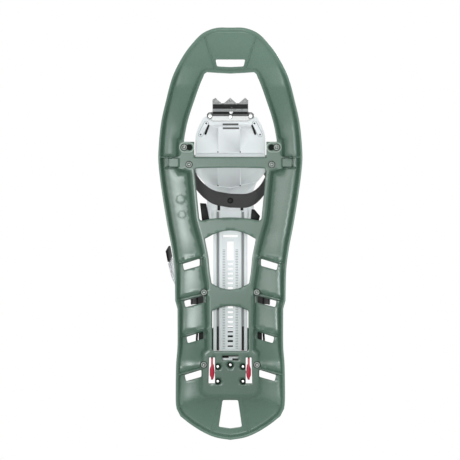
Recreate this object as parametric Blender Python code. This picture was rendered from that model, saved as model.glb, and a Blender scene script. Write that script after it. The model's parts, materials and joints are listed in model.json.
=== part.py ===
"""Moulded snowshoe with a pivoting boot binding: deck, studs, binding plate with claw, straps and climbing aid.

Metres, +Z up, nose at -Y, tail at +Y. z = 0 is the level of the stud tips, and the origin is under the middle
of the deck. A boot points to -Y.
"""

import math

import bmesh
import bpy
from mathutils import Vector
from mathutils.geometry import delaunay_2d_cdt

# Deck
DECK_LENGTH = 0.590
DECK_WIDTH = 0.207
RIM_Z = 0.012  # underside of the rim and of the cross members
CHANNEL_RISE = 0.012  # height of the channel that runs along each rail
SKIN = 0.003  # thickness of the moulded skin
CROSS_DEPTH = 0.0075  # thickness of the rim and of the cross members
RIM_WIDTH = 0.003
SLOPE_WIDTH = 0.0048
RIM_STEP = 0.009  # between the mesh's points along a rim
NOSE_RISE = 0.038
TAIL_RISE = 0.008

# Binding
PIVOT_Y = -0.110
PLATE_HALF = 0.050
PLATE_FRONT = 0.059  # from the pivot to the front edge
PLATE_THICKNESS = 0.003
AXLE_R = 0.0025
AXLE_CLEARANCE = 0.0003
HUB_R = 0.005
SIDE_GAP = 0.0015  # between the binding and the deck, each side
RAIL_HALF = 0.0243
RAIL_END_Y = 0.168
RAIL_DEPTH = 0.0085
LADDER_PITCH = 0.0069
LADDER_SLOTS = 18
HEEL_FRONT_Y = 0.134
HEEL_HALF = 0.046  # inner half-width of the heel cup
CUP_HEIGHT = 0.030
CUP_REACH = 0.0555  # from the heel plate's front edge forward to the ends of the cup's arms
CLAW_HALF = 0.0255
CLAW_DROP = 0.021
STRAP_THICKNESS = 0.0024
TOE_STRAP_HALF = 0.0100  # half-width of the toe strap
TOE_TOP = 0.098
ANKLE_STRAP_HALF = 0.0105
ANKLE_TOP = 0.122
BUCKLE_LENGTH = 0.030

# Climbing aid
AID_Y = 0.198
AID_REACH = 0.0253
AID_ARM_X = 0.0262
REST_HALF = 0.0215

GAP = 0.0003  # between pieces that touch

NOSE_Y, TAIL_Y = -DECK_LENGTH / 2, DECK_LENGTH / 2
CROSS_TOP = RIM_Z + CROSS_DEPTH
DECK_TOP = RIM_Z + CHANNEL_RISE + SKIN
PIVOT_Z = CROSS_TOP + 0.001 + HUB_R
PLATE_Z = PIVOT_Z + AXLE_R + 0.001
SOLE_Z = PLATE_Z + PLATE_THICKNESS
RAIL_Z = PLATE_Z - GAP - RAIL_DEPTH
BOSS_X = PLATE_HALF + SIDE_GAP
BOSS_WIDTH = 0.019
BOSS_FRONT, BOSS_BACK = PIVOT_Y - 0.021, PIVOT_Y + 0.015
PANEL_END_Y = AID_Y + 0.033

for old in list(bpy.data.objects):
    bpy.data.objects.remove(old)

PALETTE = {
    "deck_plastic": ((0.16, 0.23, 0.19), 0.40, 0.0),
    "steel": ((0.45, 0.45, 0.45), 0.35, 1.0),
    "light_plastic": ((0.68, 0.69, 0.71), 0.45, 0.0),
    "black_plastic": ((0.016, 0.017, 0.016), 0.45, 0.0),
    "grey_rubber": ((0.055, 0.053, 0.054), 0.60, 0.0),
    "red_plastic": ((0.60, 0.04, 0.08), 0.40, 0.0),
    "clear_strap": ((0.75, 0.76, 0.77), 0.30, 0.0),
}


def material(name):
    made = bpy.data.materials.get(name)
    if made:
        return made
    colour, roughness, metallic = PALETTE[name]
    made = bpy.data.materials.new(name)
    made.use_nodes = True
    shader = made.node_tree.nodes["Principled BSDF"]
    shader.inputs["Base Color"].default_value = (*colour, 1)
    shader.inputs["Roughness"].default_value = roughness
    shader.inputs["Metallic"].default_value = metallic
    return made


def place(mesh_data, name, finish, at=(0, 0, 0)):
    obj = bpy.data.objects.new(name, mesh_data)
    obj.location = at
    bpy.context.collection.objects.link(obj)
    if finish:
        mesh_data.materials.append(material(finish))
        mesh_data.shade_smooth()
        mesh_data.set_sharp_from_angle(angle=math.radians(30))
    else:
        obj.hide_render = True
        obj.display_type = "WIRE"
    return obj


def from_bmesh(bm, name, finish, at=(0, 0, 0)):
    bmesh.ops.recalc_face_normals(bm, faces=bm.faces)
    data = bpy.data.meshes.new(name)
    bm.to_mesh(data)
    bm.free()
    return place(data, name, finish, at)


def prism(name, finish, outline, low, high, axis="Z", at=(0, 0, 0)):
    """A closed outline extruded along an axis. The outline's two numbers are the other two axes, in order."""
    order = {"Z": (0, 1, 2), "X": (1, 2, 0), "Y": (0, 2, 1)}[axis]
    bm = bmesh.new()
    rings = []
    for level in (low, high):
        ring = []
        for u, v in outline:
            point = [0.0, 0.0, 0.0]
            point[order[0]], point[order[1]], point[order[2]] = u, v, level
            ring.append(bm.verts.new(point))
        rings.append(ring)
    bm.faces.new(rings[0])
    bm.faces.new(rings[1])
    count = len(outline)
    for i in range(count):
        j = (i + 1) % count
        bm.faces.new((rings[0][i], rings[0][j], rings[1][j], rings[1][i]))
    return from_bmesh(bm, name, finish, at)


def mirrored(half):
    """A closed outline from the half of it at positive first coordinates."""
    return half + [(-x, y) for x, y in reversed(half) if x > 1e-6]


def block(name, finish, low, high):
    corners = [(low[0], low[1]), (high[0], low[1]), (high[0], high[1]), (low[0], high[1])]
    return prism(name, finish, corners, low[2], high[2])


def rod(name, finish, radius, low, high, axis="X", at=(0, 0, 0), sides=16):
    outline = [
        (radius * math.cos(2 * math.pi * i / sides), radius * math.sin(2 * math.pi * i / sides))
        for i in range(sides)
    ]
    return prism(name, finish, outline, low, high, axis, at)


def boolean(obj, others, operation):
    """Each of the other shapes is joined to the object or cut from it."""
    for other in others:
        other.hide_render = True
        other.display_type = "WIRE"
        step = obj.modifiers.new(operation.lower(), "BOOLEAN")
        step.operation = operation
        step.object = other
        step.solver = "EXACT"
    return obj


def turned(name, finish, profile, at, sides=16, rotation=(0, 0, 0)):
    """A profile of (radius, height) points turned about Z, closed on the axis at both ends."""
    bm = bmesh.new()
    rings = []
    for radius, height in profile:
        if radius < 1e-7:
            rings.append([bm.verts.new((0, 0, height))])
            continue
        turn = [2 * math.pi * i / sides for i in range(sides)]
        rings.append([bm.verts.new((radius * math.cos(a), radius * math.sin(a), height)) for a in turn])
    for first, second in zip(rings, rings[1:]):
        for i in range(sides):
            j = (i + 1) % sides
            near, far = len(first), len(second)
            corners = [first[i % near], first[j % near], second[j % far], second[i % far]]
            bm.faces.new(list(dict.fromkeys(corners)))
    obj = from_bmesh(bm, name, finish, at)
    obj.rotation_euler = rotation
    return obj


def smooth(points, steps):
    """Points along a smooth curve through the given ones, each span in equal steps."""
    ends = [Vector(p) for p in points]
    ends = [2 * ends[0] - ends[1]] + ends + [2 * ends[-1] - ends[-2]]
    made = []
    for a, b, c, d in zip(ends, ends[1:], ends[2:], ends[3:]):
        for i in range(steps):
            t = i / steps
            square, cube = (2 * a - 5 * b + 4 * c - d) * t**2, (3 * b - a - 3 * c + d) * t**3
            made.append(0.5 * (2 * b + (c - a) * t + square + cube))
    made.append(ends[-2])
    return made


def band(name, finish, path, side, thickness):
    """A flat band swept along a path. side gives the half-width vector at each point, and the thickness is
    split to both sides of the path."""
    bm = bmesh.new()
    rings = []
    for i, point in enumerate(path):
        along = (path[min(i + 1, len(path) - 1)] - path[max(i - 1, 0)]).normalized()
        across = side(i, point)
        up = along.cross(across).normalized() * thickness / 2
        corners = [point - across - up, point + across - up, point + across + up, point - across + up]
        rings.append([bm.verts.new(c) for c in corners])
    for first, second in zip(rings, rings[1:]):
        for i in range(4):
            bm.faces.new((first[i], first[(i + 1) % 4], second[(i + 1) % 4], second[i]))
    bm.faces.new(rings[0])
    bm.faces.new(rings[-1])
    return from_bmesh(bm, name, finish)


# ---- Deck -------------------------------------------------------------------------------------------------
# Half of the outline, from the nose to the tail, as shares of the deck's half-length and half-width.
OUTLINE = [
    (-1.000, 0.00), (-0.998, 0.20), (-0.973, 0.38), (-0.925, 0.52), (-0.858, 0.66), (-0.760, 0.80),
    (-0.640, 0.893), (-0.529, 0.961), (-0.400, 0.995), (-0.320, 0.990), (-0.200, 0.947), (-0.045, 0.875),
    (0.070, 0.812), (0.180, 0.773), (0.325, 0.763),
]
FLANK = [(0.365, 0.731), (0.540, 0.731), (0.640, 0.751), (0.800, 0.756), (0.848, 0.744)]
TAIL = [(0.885, 0.691), (0.925, 0.546), (0.963, 0.372), (0.988, 0.200), (1.000, 0.0)]


def outline_points(steps):
    right = []
    for part in (OUTLINE, FLANK, TAIL):
        curve = smooth([(y * DECK_LENGTH / 2, x * DECK_WIDTH / 2, 0) for y, x in part], steps)
        right += [(p[1], p[0]) for p in curve if p[1] > 1e-6]
    return mirrored([(0, NOSE_Y)] + right + [(0, TAIL_Y)])


def half_width(points, y):
    """The outline's half-width at y, read between its points on the right side."""
    right = sorted((p[1], p[0]) for p in points if p[0] >= 0)
    for (y0, x0), (y1, x1) in zip(right, right[1:]):
        if y0 <= y <= y1:
            return x0 + (x1 - x0) * (y - y0) / max(y1 - y0, 1e-9)
    return 0.0


CROSS_1 = (PIVOT_Y + 0.001, PIVOT_Y + 0.016)  # front and back edge of each cross member at the middle
CROSS_2 = (-0.023, -0.0045)
CROSS_3 = (0.080, 0.103)
ARM_SLOT = (AID_ARM_X - 0.0042, AID_ARM_X + 0.0040, AID_Y - 0.021, AID_Y + 0.016)
# Half-width of the opening between the rails, from the pivot to the rear, beside what moves in it.
INNER = [
    (PIVOT_Y + 0.016, BOSS_X), (PIVOT_Y + 0.063, PLATE_HALF - 0.0030), (CROSS_2[0] + 0.003, RAIL_HALF + 0.0200),
    (CROSS_2[1] + 0.013, RAIL_HALF + 0.0120), (0.033, RAIL_HALF + 0.0070), (0.056, RAIL_HALF + 0.0050),
    (CROSS_3[0] - 0.006, RAIL_HALF + 0.0020), (CROSS_3[1], RAIL_HALF + SIDE_GAP),
    (RAIL_END_Y + 0.001, RAIL_HALF + SIDE_GAP),
]


def inner(y):
    for (y0, x0), (y1, x1) in zip(INNER, INNER[1:]):
        if y <= y1:
            return x0 + (x1 - x0) * max(0.0, y - y0) / (y1 - y0)
    return INNER[-1][1]


def front_opening(points, steps):
    """From the pivot boss round the front to the other boss: a rail's width inside the outline."""
    right = []
    low, high = NOSE_Y + 0.071, BOSS_FRONT
    for i in range(steps + 1):
        y = low + (high - low) * i / steps
        rail = 0.0355 + 0.0085 * (1 - i / steps) ** 1.2
        right.append((half_width(points, y) - rail, y))
    corner = right[0][0]
    arc = [(corner - 0.0015, low - 0.004), (corner - 0.005, low - 0.0065), (corner * 0.5, low - 0.0055)]
    right = list(reversed(arc)) + right
    end = [(BOSS_X, BOSS_FRONT), (BOSS_X, CROSS_1[0])]
    return mirrored([(0, low - 0.0045)] + right + end)


def bay(front, back, arch_front, arch_back, steps):
    """An opening between two cross members, each edge arched by its amount."""
    half = [(0, front + arch_front)]
    wide = inner(front) - 0.003
    half += [(wide * t, front + arch_front * (1 - t * t)) for t in (0.5, 1.0)]
    for i in range(steps + 1):
        y = front + 0.003 + (back - front - 0.006) * i / steps
        half.append((inner(y), y))
    wide = inner(back) - 0.003
    half += [(wide * t, back + arch_back * (1 - t * t)) for t in (1.0, 0.5, 0.0)]
    return mirrored(half)


SIDE_SLOT_Y = [0.0436, 0.0964, 0.1479, 0.2022]  # front corner of each rail slot at its outer end


def side_slots(points):
    """Four slots across each rail, each slanting forward towards the middle."""
    slots = []
    near_x = [inner(SIDE_SLOT_Y[0]) + 0.0135, RAIL_HALF + 0.0143, RAIL_HALF + 0.0143, ARM_SLOT[1] + 0.0112]
    for y, near in zip(SIDE_SLOT_Y, near_x):
        far = half_width(points, y) - 0.0125
        shape = [(near, y - 0.0075), (far, y), (far - 0.002, y + 0.0088), (near, y + 0.0025)]
        slots.append(shape)
        slots.append([(-x, yy) for x, yy in reversed(shape)])
    return slots


def centre_panel(steps):
    """The low zone between the rails: bosses, cross members and heel panel."""
    half = [(BOSS_X + BOSS_WIDTH, BOSS_FRONT), (BOSS_X + BOSS_WIDTH, BOSS_BACK)]
    for i in range(steps + 1):
        y = BOSS_BACK + 0.004 + (RAIL_END_Y - BOSS_BACK - 0.004) * i / steps
        half.append((inner(y) + 0.004, y))
    heel = ARM_SLOT[1] + 0.006
    half += [(heel, RAIL_END_Y + 0.004), (heel + 0.001, PANEL_END_Y - 0.004), (heel - 0.004, PANEL_END_Y)]
    return mirrored(half)


def resampled(loop, step):
    """The loop with points added until none of its edges is much longer than the step."""
    made = []
    for (ax, ay), (bx, by) in zip(loop, loop[1:] + loop[:1]):
        count = max(1, round(math.hypot(bx - ax, by - ay) / step))
        made += [(ax + (bx - ax) * i / count, ay + (by - ay) * i / count) for i in range(count)]
    return made


def distance(point, loop):
    """From a point to the nearest edge of a closed loop, in plan."""
    x, y = point
    best = 1e9
    for (ax, ay), (bx, by) in zip(loop, loop[1:] + loop[:1]):
        dx, dy = bx - ax, by - ay
        t = max(0.0, min(1.0, ((x - ax) * dx + (y - ay) * dy) / (dx * dx + dy * dy + 1e-18)))
        best = min(best, (x - ax - t * dx) ** 2 + (y - ay - t * dy) ** 2)
    return math.sqrt(best)


def inside(point, loop):
    x, y = point
    odd = False
    for (ax, ay), (bx, by) in zip(loop, loop[1:] + loop[:1]):
        if (ay > y) != (by > y) and x < (bx - ax) * (y - ay) / (by - ay) + ax:
            odd = not odd
    return odd


def lift(y):
    """How far the deck is raised at y: the nose curls up and the tail a little."""
    nose = max(0.0, (PIVOT_Y - 0.04 - y) / (PIVOT_Y - 0.04 - NOSE_Y))
    tail = max(0.0, (y - PANEL_END_Y) / (TAIL_Y - PANEL_END_Y))
    return NOSE_RISE * nose**2 + TAIL_RISE * tail**1.5


def deck():
    outer = resampled(outline_points(4), RIM_STEP)
    front = resampled(front_opening(outer, 9), RIM_STEP)
    bays = [
        bay(CROSS_1[1] + 0.001, CROSS_2[0] + 0.0045, -0.001, -0.0045, 4),
        bay(CROSS_2[1] + 0.011, CROSS_3[0] - 0.007, -0.011, 0.007, 5),
        bay(CROSS_3[1] + 0.006, RAIL_END_Y, -0.006, 0.0, 4),
    ]
    x0, x1, y0, y1 = ARM_SLOT
    arm_slots = [[(x0, y0), (x1, y0), (x1 + 0.001, y1), (x0, y1)]]
    arm_slots.append([(-x, y) for x, y in reversed(arm_slots[0])])
    front_y, back_y = AID_Y - 0.0235, AID_Y - 0.017
    window = [(-0.0115, front_y), (0.0115, front_y), (0.0115, back_y), (-0.0115, back_y)]
    tail = [(-0.011, TAIL_Y - 0.057), (0.011, TAIL_Y - 0.057), (0.0165, TAIL_Y - 0.019), (0, TAIL_Y - 0.0165)]
    tail.append((-0.0165, TAIL_Y - 0.019))
    nose = [(-0.0195, NOSE_Y + 0.047), (0, NOSE_Y + 0.0455), (0.0195, NOSE_Y + 0.047), (0.0175, NOSE_Y + 0.0565)]
    nose += [(0, NOSE_Y + 0.0575), (-0.0175, NOSE_Y + 0.0565)]
    holes = [front, *bays, *side_slots(outer), *arm_slots, window, tail, nose]
    panel = resampled(centre_panel(10), RIM_STEP)
    rims = [outer, front, panel]

    points, edges = [], []
    for loop in [outer, *holes, panel]:
        start = len(points)
        points += loop
        edges += [(start + i, start + (i + 1) % len(loop)) for i in range(len(loop))]
    # Rows of points at the foot and the head of the slope beside each rim.
    for loop in rims:
        for inset in (RIM_WIDTH, RIM_WIDTH + SLOPE_WIDTH):
            for (ax, ay), (bx, by) in zip(loop, loop[1:] + loop[:1]):
                mx, my = (ax + bx) / 2, (ay + by) / 2
                size = math.hypot(bx - ax, by - ay)
                for side in (1, -1):
                    spot = (mx + side * inset * (by - ay) / size, my - side * inset * (bx - ax) / size)
                    clear = min(distance(spot, r) for r in rims) > inset - 0.0004
                    on_deck = inside(spot, outer) and not inside(spot, front) and not inside(spot, panel)
                    free = min(distance(spot, h) for h in holes[1:]) > 0.0015
                    if clear and on_deck and free and not any(inside(spot, h) for h in holes):
                        points.append(spot)
    made, _, faces, _, _, _ = delaunay_2d_cdt([Vector(p) for p in points], edges, [], 0, 1e-6)

    kept = []
    for face in faces:
        middle = sum((made[i] for i in face), Vector((0, 0))) / 3
        if inside(middle, outer) and not any(inside(middle, h) for h in holes):
            kept.append(face)

    low, high = [], []
    for p in made:
        spot = (p[0], p[1])
        nearest = 0.0 if inside(spot, panel) else min(distance(spot, r) for r in rims)
        rise = max(0.0, min(1.0, (nearest - RIM_WIDTH) / SLOPE_WIDTH))
        bottom = RIM_Z + CHANNEL_RISE * rise
        top = CROSS_TOP + (DECK_TOP - CROSS_TOP) * max(0.0, min(1.0, nearest / (RIM_WIDTH + SLOPE_WIDTH)))
        low.append(bottom + lift(p[1]))
        high.append(top + lift(p[1]))

    bm = bmesh.new()
    used = sorted({i for face in kept for i in face})
    under = {i: bm.verts.new((made[i][0], made[i][1], low[i])) for i in used}
    over = {i: bm.verts.new((made[i][0], made[i][1], high[i])) for i in used}
    open_edges = {}
    for face in kept:
        bm.faces.new([under[i] for i in reversed(face)])
        bm.faces.new([over[i] for i in face])
        for a, b in zip(face, face[1:] + face[:1]):
            open_edges[(a, b)] = (b, a) not in open_edges
            if (b, a) in open_edges:
                open_edges[(b, a)] = False
    for (a, b), is_open in open_edges.items():
        if is_open:
            bm.faces.new((under[a], under[b], over[b], over[a]))
    obj = from_bmesh(bm, "deck", "deck_plastic")

    # Pivot bosses, with a blind bore for the axle in each.
    bosses = []
    for side in (1, -1):
        xs = sorted((side * (BOSS_X + 0.0003), side * (BOSS_X + BOSS_WIDTH - 0.0005)))
        low_corner = (xs[0], BOSS_FRONT + 0.0007, RIM_Z + 0.0008)
        bosses.append(block(f"boss_{side}", None, low_corner, (xs[1], BOSS_BACK - 0.0005, PIVOT_Z + 0.0062)))
    for side in (1, -1):
        x, y = MIDDLE_STUD
        pad = rod(f"stud_pad_{side}", None, PAD_R, RIM_Z - 0.0001, DECK_TOP - 0.0013, "Z", (side * x, y, 0), 14)
        bosses.append(pad)
    boolean(obj, bosses, "UNION")
    reach = AXLE_HALF + 0.001
    bore = rod("pivot_bore", None, AXLE_R + AXLE_CLEARANCE, -reach, reach, "X", (0, PIVOT_Y, PIVOT_Z), 20)
    boolean(obj, [bore], "DIFFERENCE")
    return obj


AXLE_HALF = BOSS_X + 0.012


# ---- Fixed to the deck ------------------------------------------------------------------------------------
FRONT_STUDS = [(BOSS_X + 0.0145, PIVOT_Y - 0.013), (BOSS_X + 0.0075, PIVOT_Y + 0.0115)]
MIDDLE_STUD = (inner(CROSS_3[0] + 0.004) + 0.0115, CROSS_3[0] + 0.004)
REAR_STUD = (ARM_SLOT[1] + 0.0078, AID_Y - 0.0105)
STUD_SPOTS = [*FRONT_STUDS, MIDDLE_STUD, REAR_STUD]
STUD_NAMES = ["stud_boss_front", "stud_boss_back", "stud_middle", "stud_rear"]
STUD_TOP = RIM_Z - GAP
PAD_R = 0.0052


def studs():
    """Hardened steel points: a hexagonal foot under the deck and a blunt cone."""
    foot = STUD_TOP * 0.66
    profile = [(0, 0), (0.0009, 0), (0.0030, STUD_TOP * 0.62), (0.0040, foot), (0.0040, STUD_TOP), (0, STUD_TOP)]
    for (x, y), name in zip(STUD_SPOTS, STUD_NAMES):
        for side, word in ((-1, "left"), (1, "right")):
            turned(f"{name}_{word}", "steel", profile, (side * x, y, 0), 12)


def axle():
    rod("pivot_axle", "steel", AXLE_R, -AXLE_HALF, AXLE_HALF, "X", (0, PIVOT_Y, PIVOT_Z), 16)


REST_FRONT, REST_BACK = AID_Y - AID_REACH + 0.0030, AID_Y + 0.018
REST_Z = CROSS_TOP + GAP
REST_TOP = RAIL_Z + 0.0065
SCREWS = [(-0.018, AID_Y - 0.008), (0, AID_Y - 0.0105), (0.018, AID_Y - 0.008)]
SCREWS += [(-0.018, AID_Y + 0.013), (0.018, AID_Y + 0.013)]
PIN_R = 0.0020
PIN_Z = REST_Z + 0.0035


def heel_rest():
    """Block screwed to the heel panel. It carries the climbing aid's pin."""
    body = block("heel_rest", "light_plastic", (-REST_HALF, REST_FRONT, REST_Z), (REST_HALF, REST_BACK, REST_TOP))
    bore = rod("aid_bore", None, PIN_R + GAP, -REST_HALF - 0.002, REST_HALF + 0.002, "X", (0, AID_Y, PIN_Z), 16)
    boolean(body, [bore], "DIFFERENCE")
    profile = [(0, -0.0016), (0.0022, -0.0016), (0.0028, -0.0006), (0.0028, 0), (0, 0)]
    for number, (x, y) in enumerate(SCREWS, 1):
        turned(f"rest_screw_{number}", "steel", profile, (x, y, RIM_Z - GAP), 12)


# ---- Binding ----------------------------------------------------------------------------------------------
PLATE_BACK_Y = CROSS_2[0] + 0.003
REAR_HALF = 0.0335
POCKET_DEPTH = 0.0020  # of the pockets in the plate's underside
# Half of the plate's outline, from the front edge backwards, as distances from the pivot.
PLATE = [
    (0.0, -PLATE_FRONT + 0.004), (0.030, -PLATE_FRONT), (PLATE_HALF - 0.012, -PLATE_FRONT + 0.003),
    (PLATE_HALF - 0.006, -PLATE_FRONT + 0.013), (PLATE_HALF - 0.002, -PLATE_FRONT + 0.023),
    (PLATE_HALF, -0.028),
    (PLATE_HALF, 0.022), (PLATE_HALF - 0.006, 0.030), (PLATE_HALF - 0.0125, 0.037), (REAR_HALF, 0.047),
    (REAR_HALF, PLATE_BACK_Y - PIVOT_Y),
]


def slanted(x, y, length, width, lean):
    """Corners of a slit whose long axis leans by an angle from +Y."""
    along = Vector((math.sin(lean), math.cos(lean))) * length / 2
    across = Vector((along.y, -along.x)).normalized() * width / 2
    middle = Vector((x, y))
    return [tuple(middle + s * along + t * across) for s, t in ((-1, 1), (1, 1), (1, -1), (-1, -1))]


def toe_plate():
    outline = [(x, PIVOT_Y + y) for x, y in mirrored(PLATE)]
    plate = prism("toe_plate", "light_plastic", outline, PLATE_Z, SOLE_Z)
    hub = rod("pivot_hub", None, HUB_R, -PLATE_HALF + 0.0003, PLATE_HALF - 0.0003, "X", (0, PIVOT_Y, PIVOT_Z), 20)
    reach = PLATE_HALF - 0.0005
    neck = block("pivot_neck", None, (-reach, PIVOT_Y - 0.0045, PIVOT_Z), (reach, PIVOT_Y + 0.0045, PLATE_Z + 0.001))
    boolean(plate, [hub, neck], "UNION")
    reach = PLATE_HALF + 0.001
    cuts = [rod("hub_bore", None, AXLE_R + GAP, -reach, reach, "X", (0, PIVOT_Y, PIVOT_Z), 20)]
    low, high = PLATE_Z - 0.002, PLATE_Z + POCKET_DEPTH
    cuts.append(block("plate_window", None, (-0.0115, PIVOT_Y - 0.0475, low), (0.0115, PIVOT_Y - 0.0445, high)))
    for side in (1, -1):
        slit = slanted(side * 0.0335, PIVOT_Y - 0.0385, 0.016, 0.0035, side * 0.34)
        cuts.append(prism(f"plate_slit_{side}", None, slit, low, high))
        for x, width in ((0.0165, 0.0042), (0.0255, 0.0026)):
            near, far = sorted((side * (x - width / 2), side * (x + width / 2)))
            front, back = PLATE_BACK_Y - 0.022, PLATE_BACK_Y - 0.0045
            cuts.append(block(f"plate_slot_{side}_{x}", None, (near, front, low), (far, back, high)))
    boolean(plate, cuts, "DIFFERENCE")


CLAW_Y = PIVOT_Y - PLATE_FRONT - 0.005  # front edge of the claw's flange
CLAW_T = 0.0022
FLANGE_Z = PLATE_Z - GAP - CLAW_T


def claw():
    """Bent steel blade with three teeth, bolted under the front of the plate."""
    ear = CLAW_HALF + 0.008
    right = [(CLAW_HALF, 0.0), (ear, 0.003), (ear, 0.009), (CLAW_HALF, 0.0135)]
    body = prism("front_claw", "steel", [(x, CLAW_Y + y) for x, y in mirrored(right)], FLANGE_Z, PLATE_Z - GAP)
    length = CLAW_DROP * math.sqrt(2)
    tooth = 0.0107
    step = CLAW_HALF - 0.0045  # between the tips of the teeth
    edge = [(-CLAW_HALF, 0.0006), (-CLAW_HALF, -length + 0.004), (-step, -length)]
    edge += [(-step / 2 - 0.0015, -length + tooth), (-step / 2 + 0.0015, -length + tooth), (0, -length)]
    edge += [(-x, z) for x, z in reversed(edge[:-1])]
    blade = prism("claw_blade", None, edge, 0, CLAW_T, "Y")
    blade.location = (0, CLAW_Y + 0.0011, FLANGE_Z + 0.0008)
    blade.rotation_euler = (math.radians(-45), 0, 0)
    boolean(body, [blade], "UNION")
    head = [(0, -0.0018), (0.0026, -0.0018), (0.0034, -0.0004), (0.0034, 0), (0, 0)]
    reach = CLAW_HALF + 0.0035
    for x, word in ((0, "claw_bolt"), (-reach, "claw_rivet_left"), (reach, "claw_rivet_right")):
        turned(word, "steel", head, (x, CLAW_Y + (0.006 if x else 0.0071), FLANGE_Z - GAP), 12)


STRAP_MID_Y = PIVOT_Y + 0.063  # where the toe strap crosses under the plate
STRAP_SKEW = 0.10  # the strap runs further back on the right: this much per unit of X, out to SKEW_HALF
SKEW_HALF = 0.036
SKEW_TOP_Z = SOLE_Z + 0.040  # the skew fades out by this height


def adjuster_rail():
    """Channel under the sole, from the plate to the heel, with a row of slots that the heel piece locks into."""
    low, high = RAIL_Z, PLATE_Z - GAP
    half = [
        (0, low), (0.0158, low), (0.0164, high - 0.0022), (0.0193, high - 0.0022), (0.0199, low), (RAIL_HALF, low),
        (RAIL_HALF, high), (0.0142, high), (0.0136, low + 0.0024), (0, low + 0.0024),
    ]
    start = STRAP_MID_Y + TOE_STRAP_HALF + STRAP_SKEW * RAIL_HALF + 0.0015
    rail = prism("adjuster_rail", "light_plastic", mirrored(half), start, RAIL_END_Y, "Y")
    cuts = [block("cross_slot", None, (-0.0106, 0.0020, low - 0.002), (0.0106, 0.0052, low + 0.004))]
    cuts.append(block("long_slot", None, (-0.0048, 0.0114, low - 0.002), (0.0048, 0.0384, low + 0.004)))
    rung = block("ladder_slots", None, (-0.0037, 0.0420, low - 0.002), (0.0037, 0.0448, low + 0.004))
    row = rung.modifiers.new("row", "ARRAY")
    row.count = LADDER_SLOTS
    row.use_relative_offset = False
    row.use_constant_offset = True
    row.constant_offset_displace = (0, LADDER_PITCH, 0)
    cuts.append(rung)
    for side in (1, -1):
        near, far = sorted((side * 0.0168, side * 0.0189))
        front, back = HEEL_FRONT_Y + 0.0005, RAIL_END_Y - 0.002
        cuts.append(block(f"groove_slot_{side}", None, (near, front, high - 0.004), (far, back, high + 0.002)))
    boolean(rail, cuts, "DIFFERENCE")


STRAP_Z = PLATE_Z - GAP - STRAP_THICKNESS / 2
TOE_STRAP_Y = PIVOT_Y + 0.012
# Right half of the toe strap's path, from the rivet under the plate up the side and over the toe box.
TOE_PATH = [
    (0.0, STRAP_MID_Y, STRAP_Z), (0.022, PIVOT_Y + 0.061, STRAP_Z), (0.036, PIVOT_Y + 0.054, STRAP_Z + 0.0002),
    (0.0470, PIVOT_Y + 0.042, STRAP_Z + 0.0065), (0.0520, PIVOT_Y + 0.030, STRAP_Z + 0.022),
    (0.0515, PIVOT_Y + 0.020, STRAP_Z + 0.042), (0.0435, PIVOT_Y + 0.013, TOE_TOP - 0.0130),
    (0.0350, TOE_STRAP_Y, TOE_TOP - 0.0040), (0.0270, TOE_STRAP_Y, TOE_TOP - 0.0005), (0.0190, TOE_STRAP_Y, TOE_TOP),
    (0.0110, TOE_STRAP_Y, TOE_TOP),
]


def toe_strap():
    right = smooth(TOE_PATH, 4)
    left = [Vector((-p.x, p.y, p.z)) for p in reversed(right)]
    path = left + right[1:]
    path = [p for p in path if not (p.x < 0 and p.z > TOE_TOP - 0.0001 and p.x > -0.0140)]
    for p in path:
        if p.z < SKEW_TOP_Z:
            fade = 1 - max(0, p.z - SOLE_Z) / (SKEW_TOP_Z - SOLE_Z)
            p.y += STRAP_SKEW * max(-SKEW_HALF, min(SKEW_HALF, p.x)) * fade

    def side(i, point):
        return Vector((0, TOE_STRAP_HALF * (1.0 if point.z < 0.04 else 0.9), 0))

    band("toe_strap", "grey_rubber", path, side, STRAP_THICKNESS)
    head = [(0, -0.0016), (0.0030, -0.0016), (0.0042, -0.0004), (0.0042, 0), (0, 0)]
    turned("toe_strap_rivet", "black_plastic", head, (0, STRAP_MID_Y, STRAP_Z - STRAP_THICKNESS / 2 - GAP), 16)


def strap_ends():
    """Spare ends of the harness, folded flat under the plate's rear corners."""
    left = [(-0.0435, -0.0435), (-0.0345, -0.0430), (-0.0300, -0.0195), (-0.0405, -0.0175)]
    right = [(0.0305, -0.0350), (0.0345, -0.0345), (0.0425, -0.0250), (0.0405, -0.0175), (0.0290, -0.0195)]
    for word, outline in (("left", left), ("right", right)):
        top = PLATE_Z - GAP
        prism(f"strap_end_{word}", "black_plastic", outline, top - STRAP_END_T, top)


STRAP_END_T = 0.0035
LADDER_T = 0.0020
CHEEK = 0.0020
BUCKLE_FLOOR = 0.0012
BUCKLE_HEIGHT = 0.0115
CAM_R = 0.0034


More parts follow.
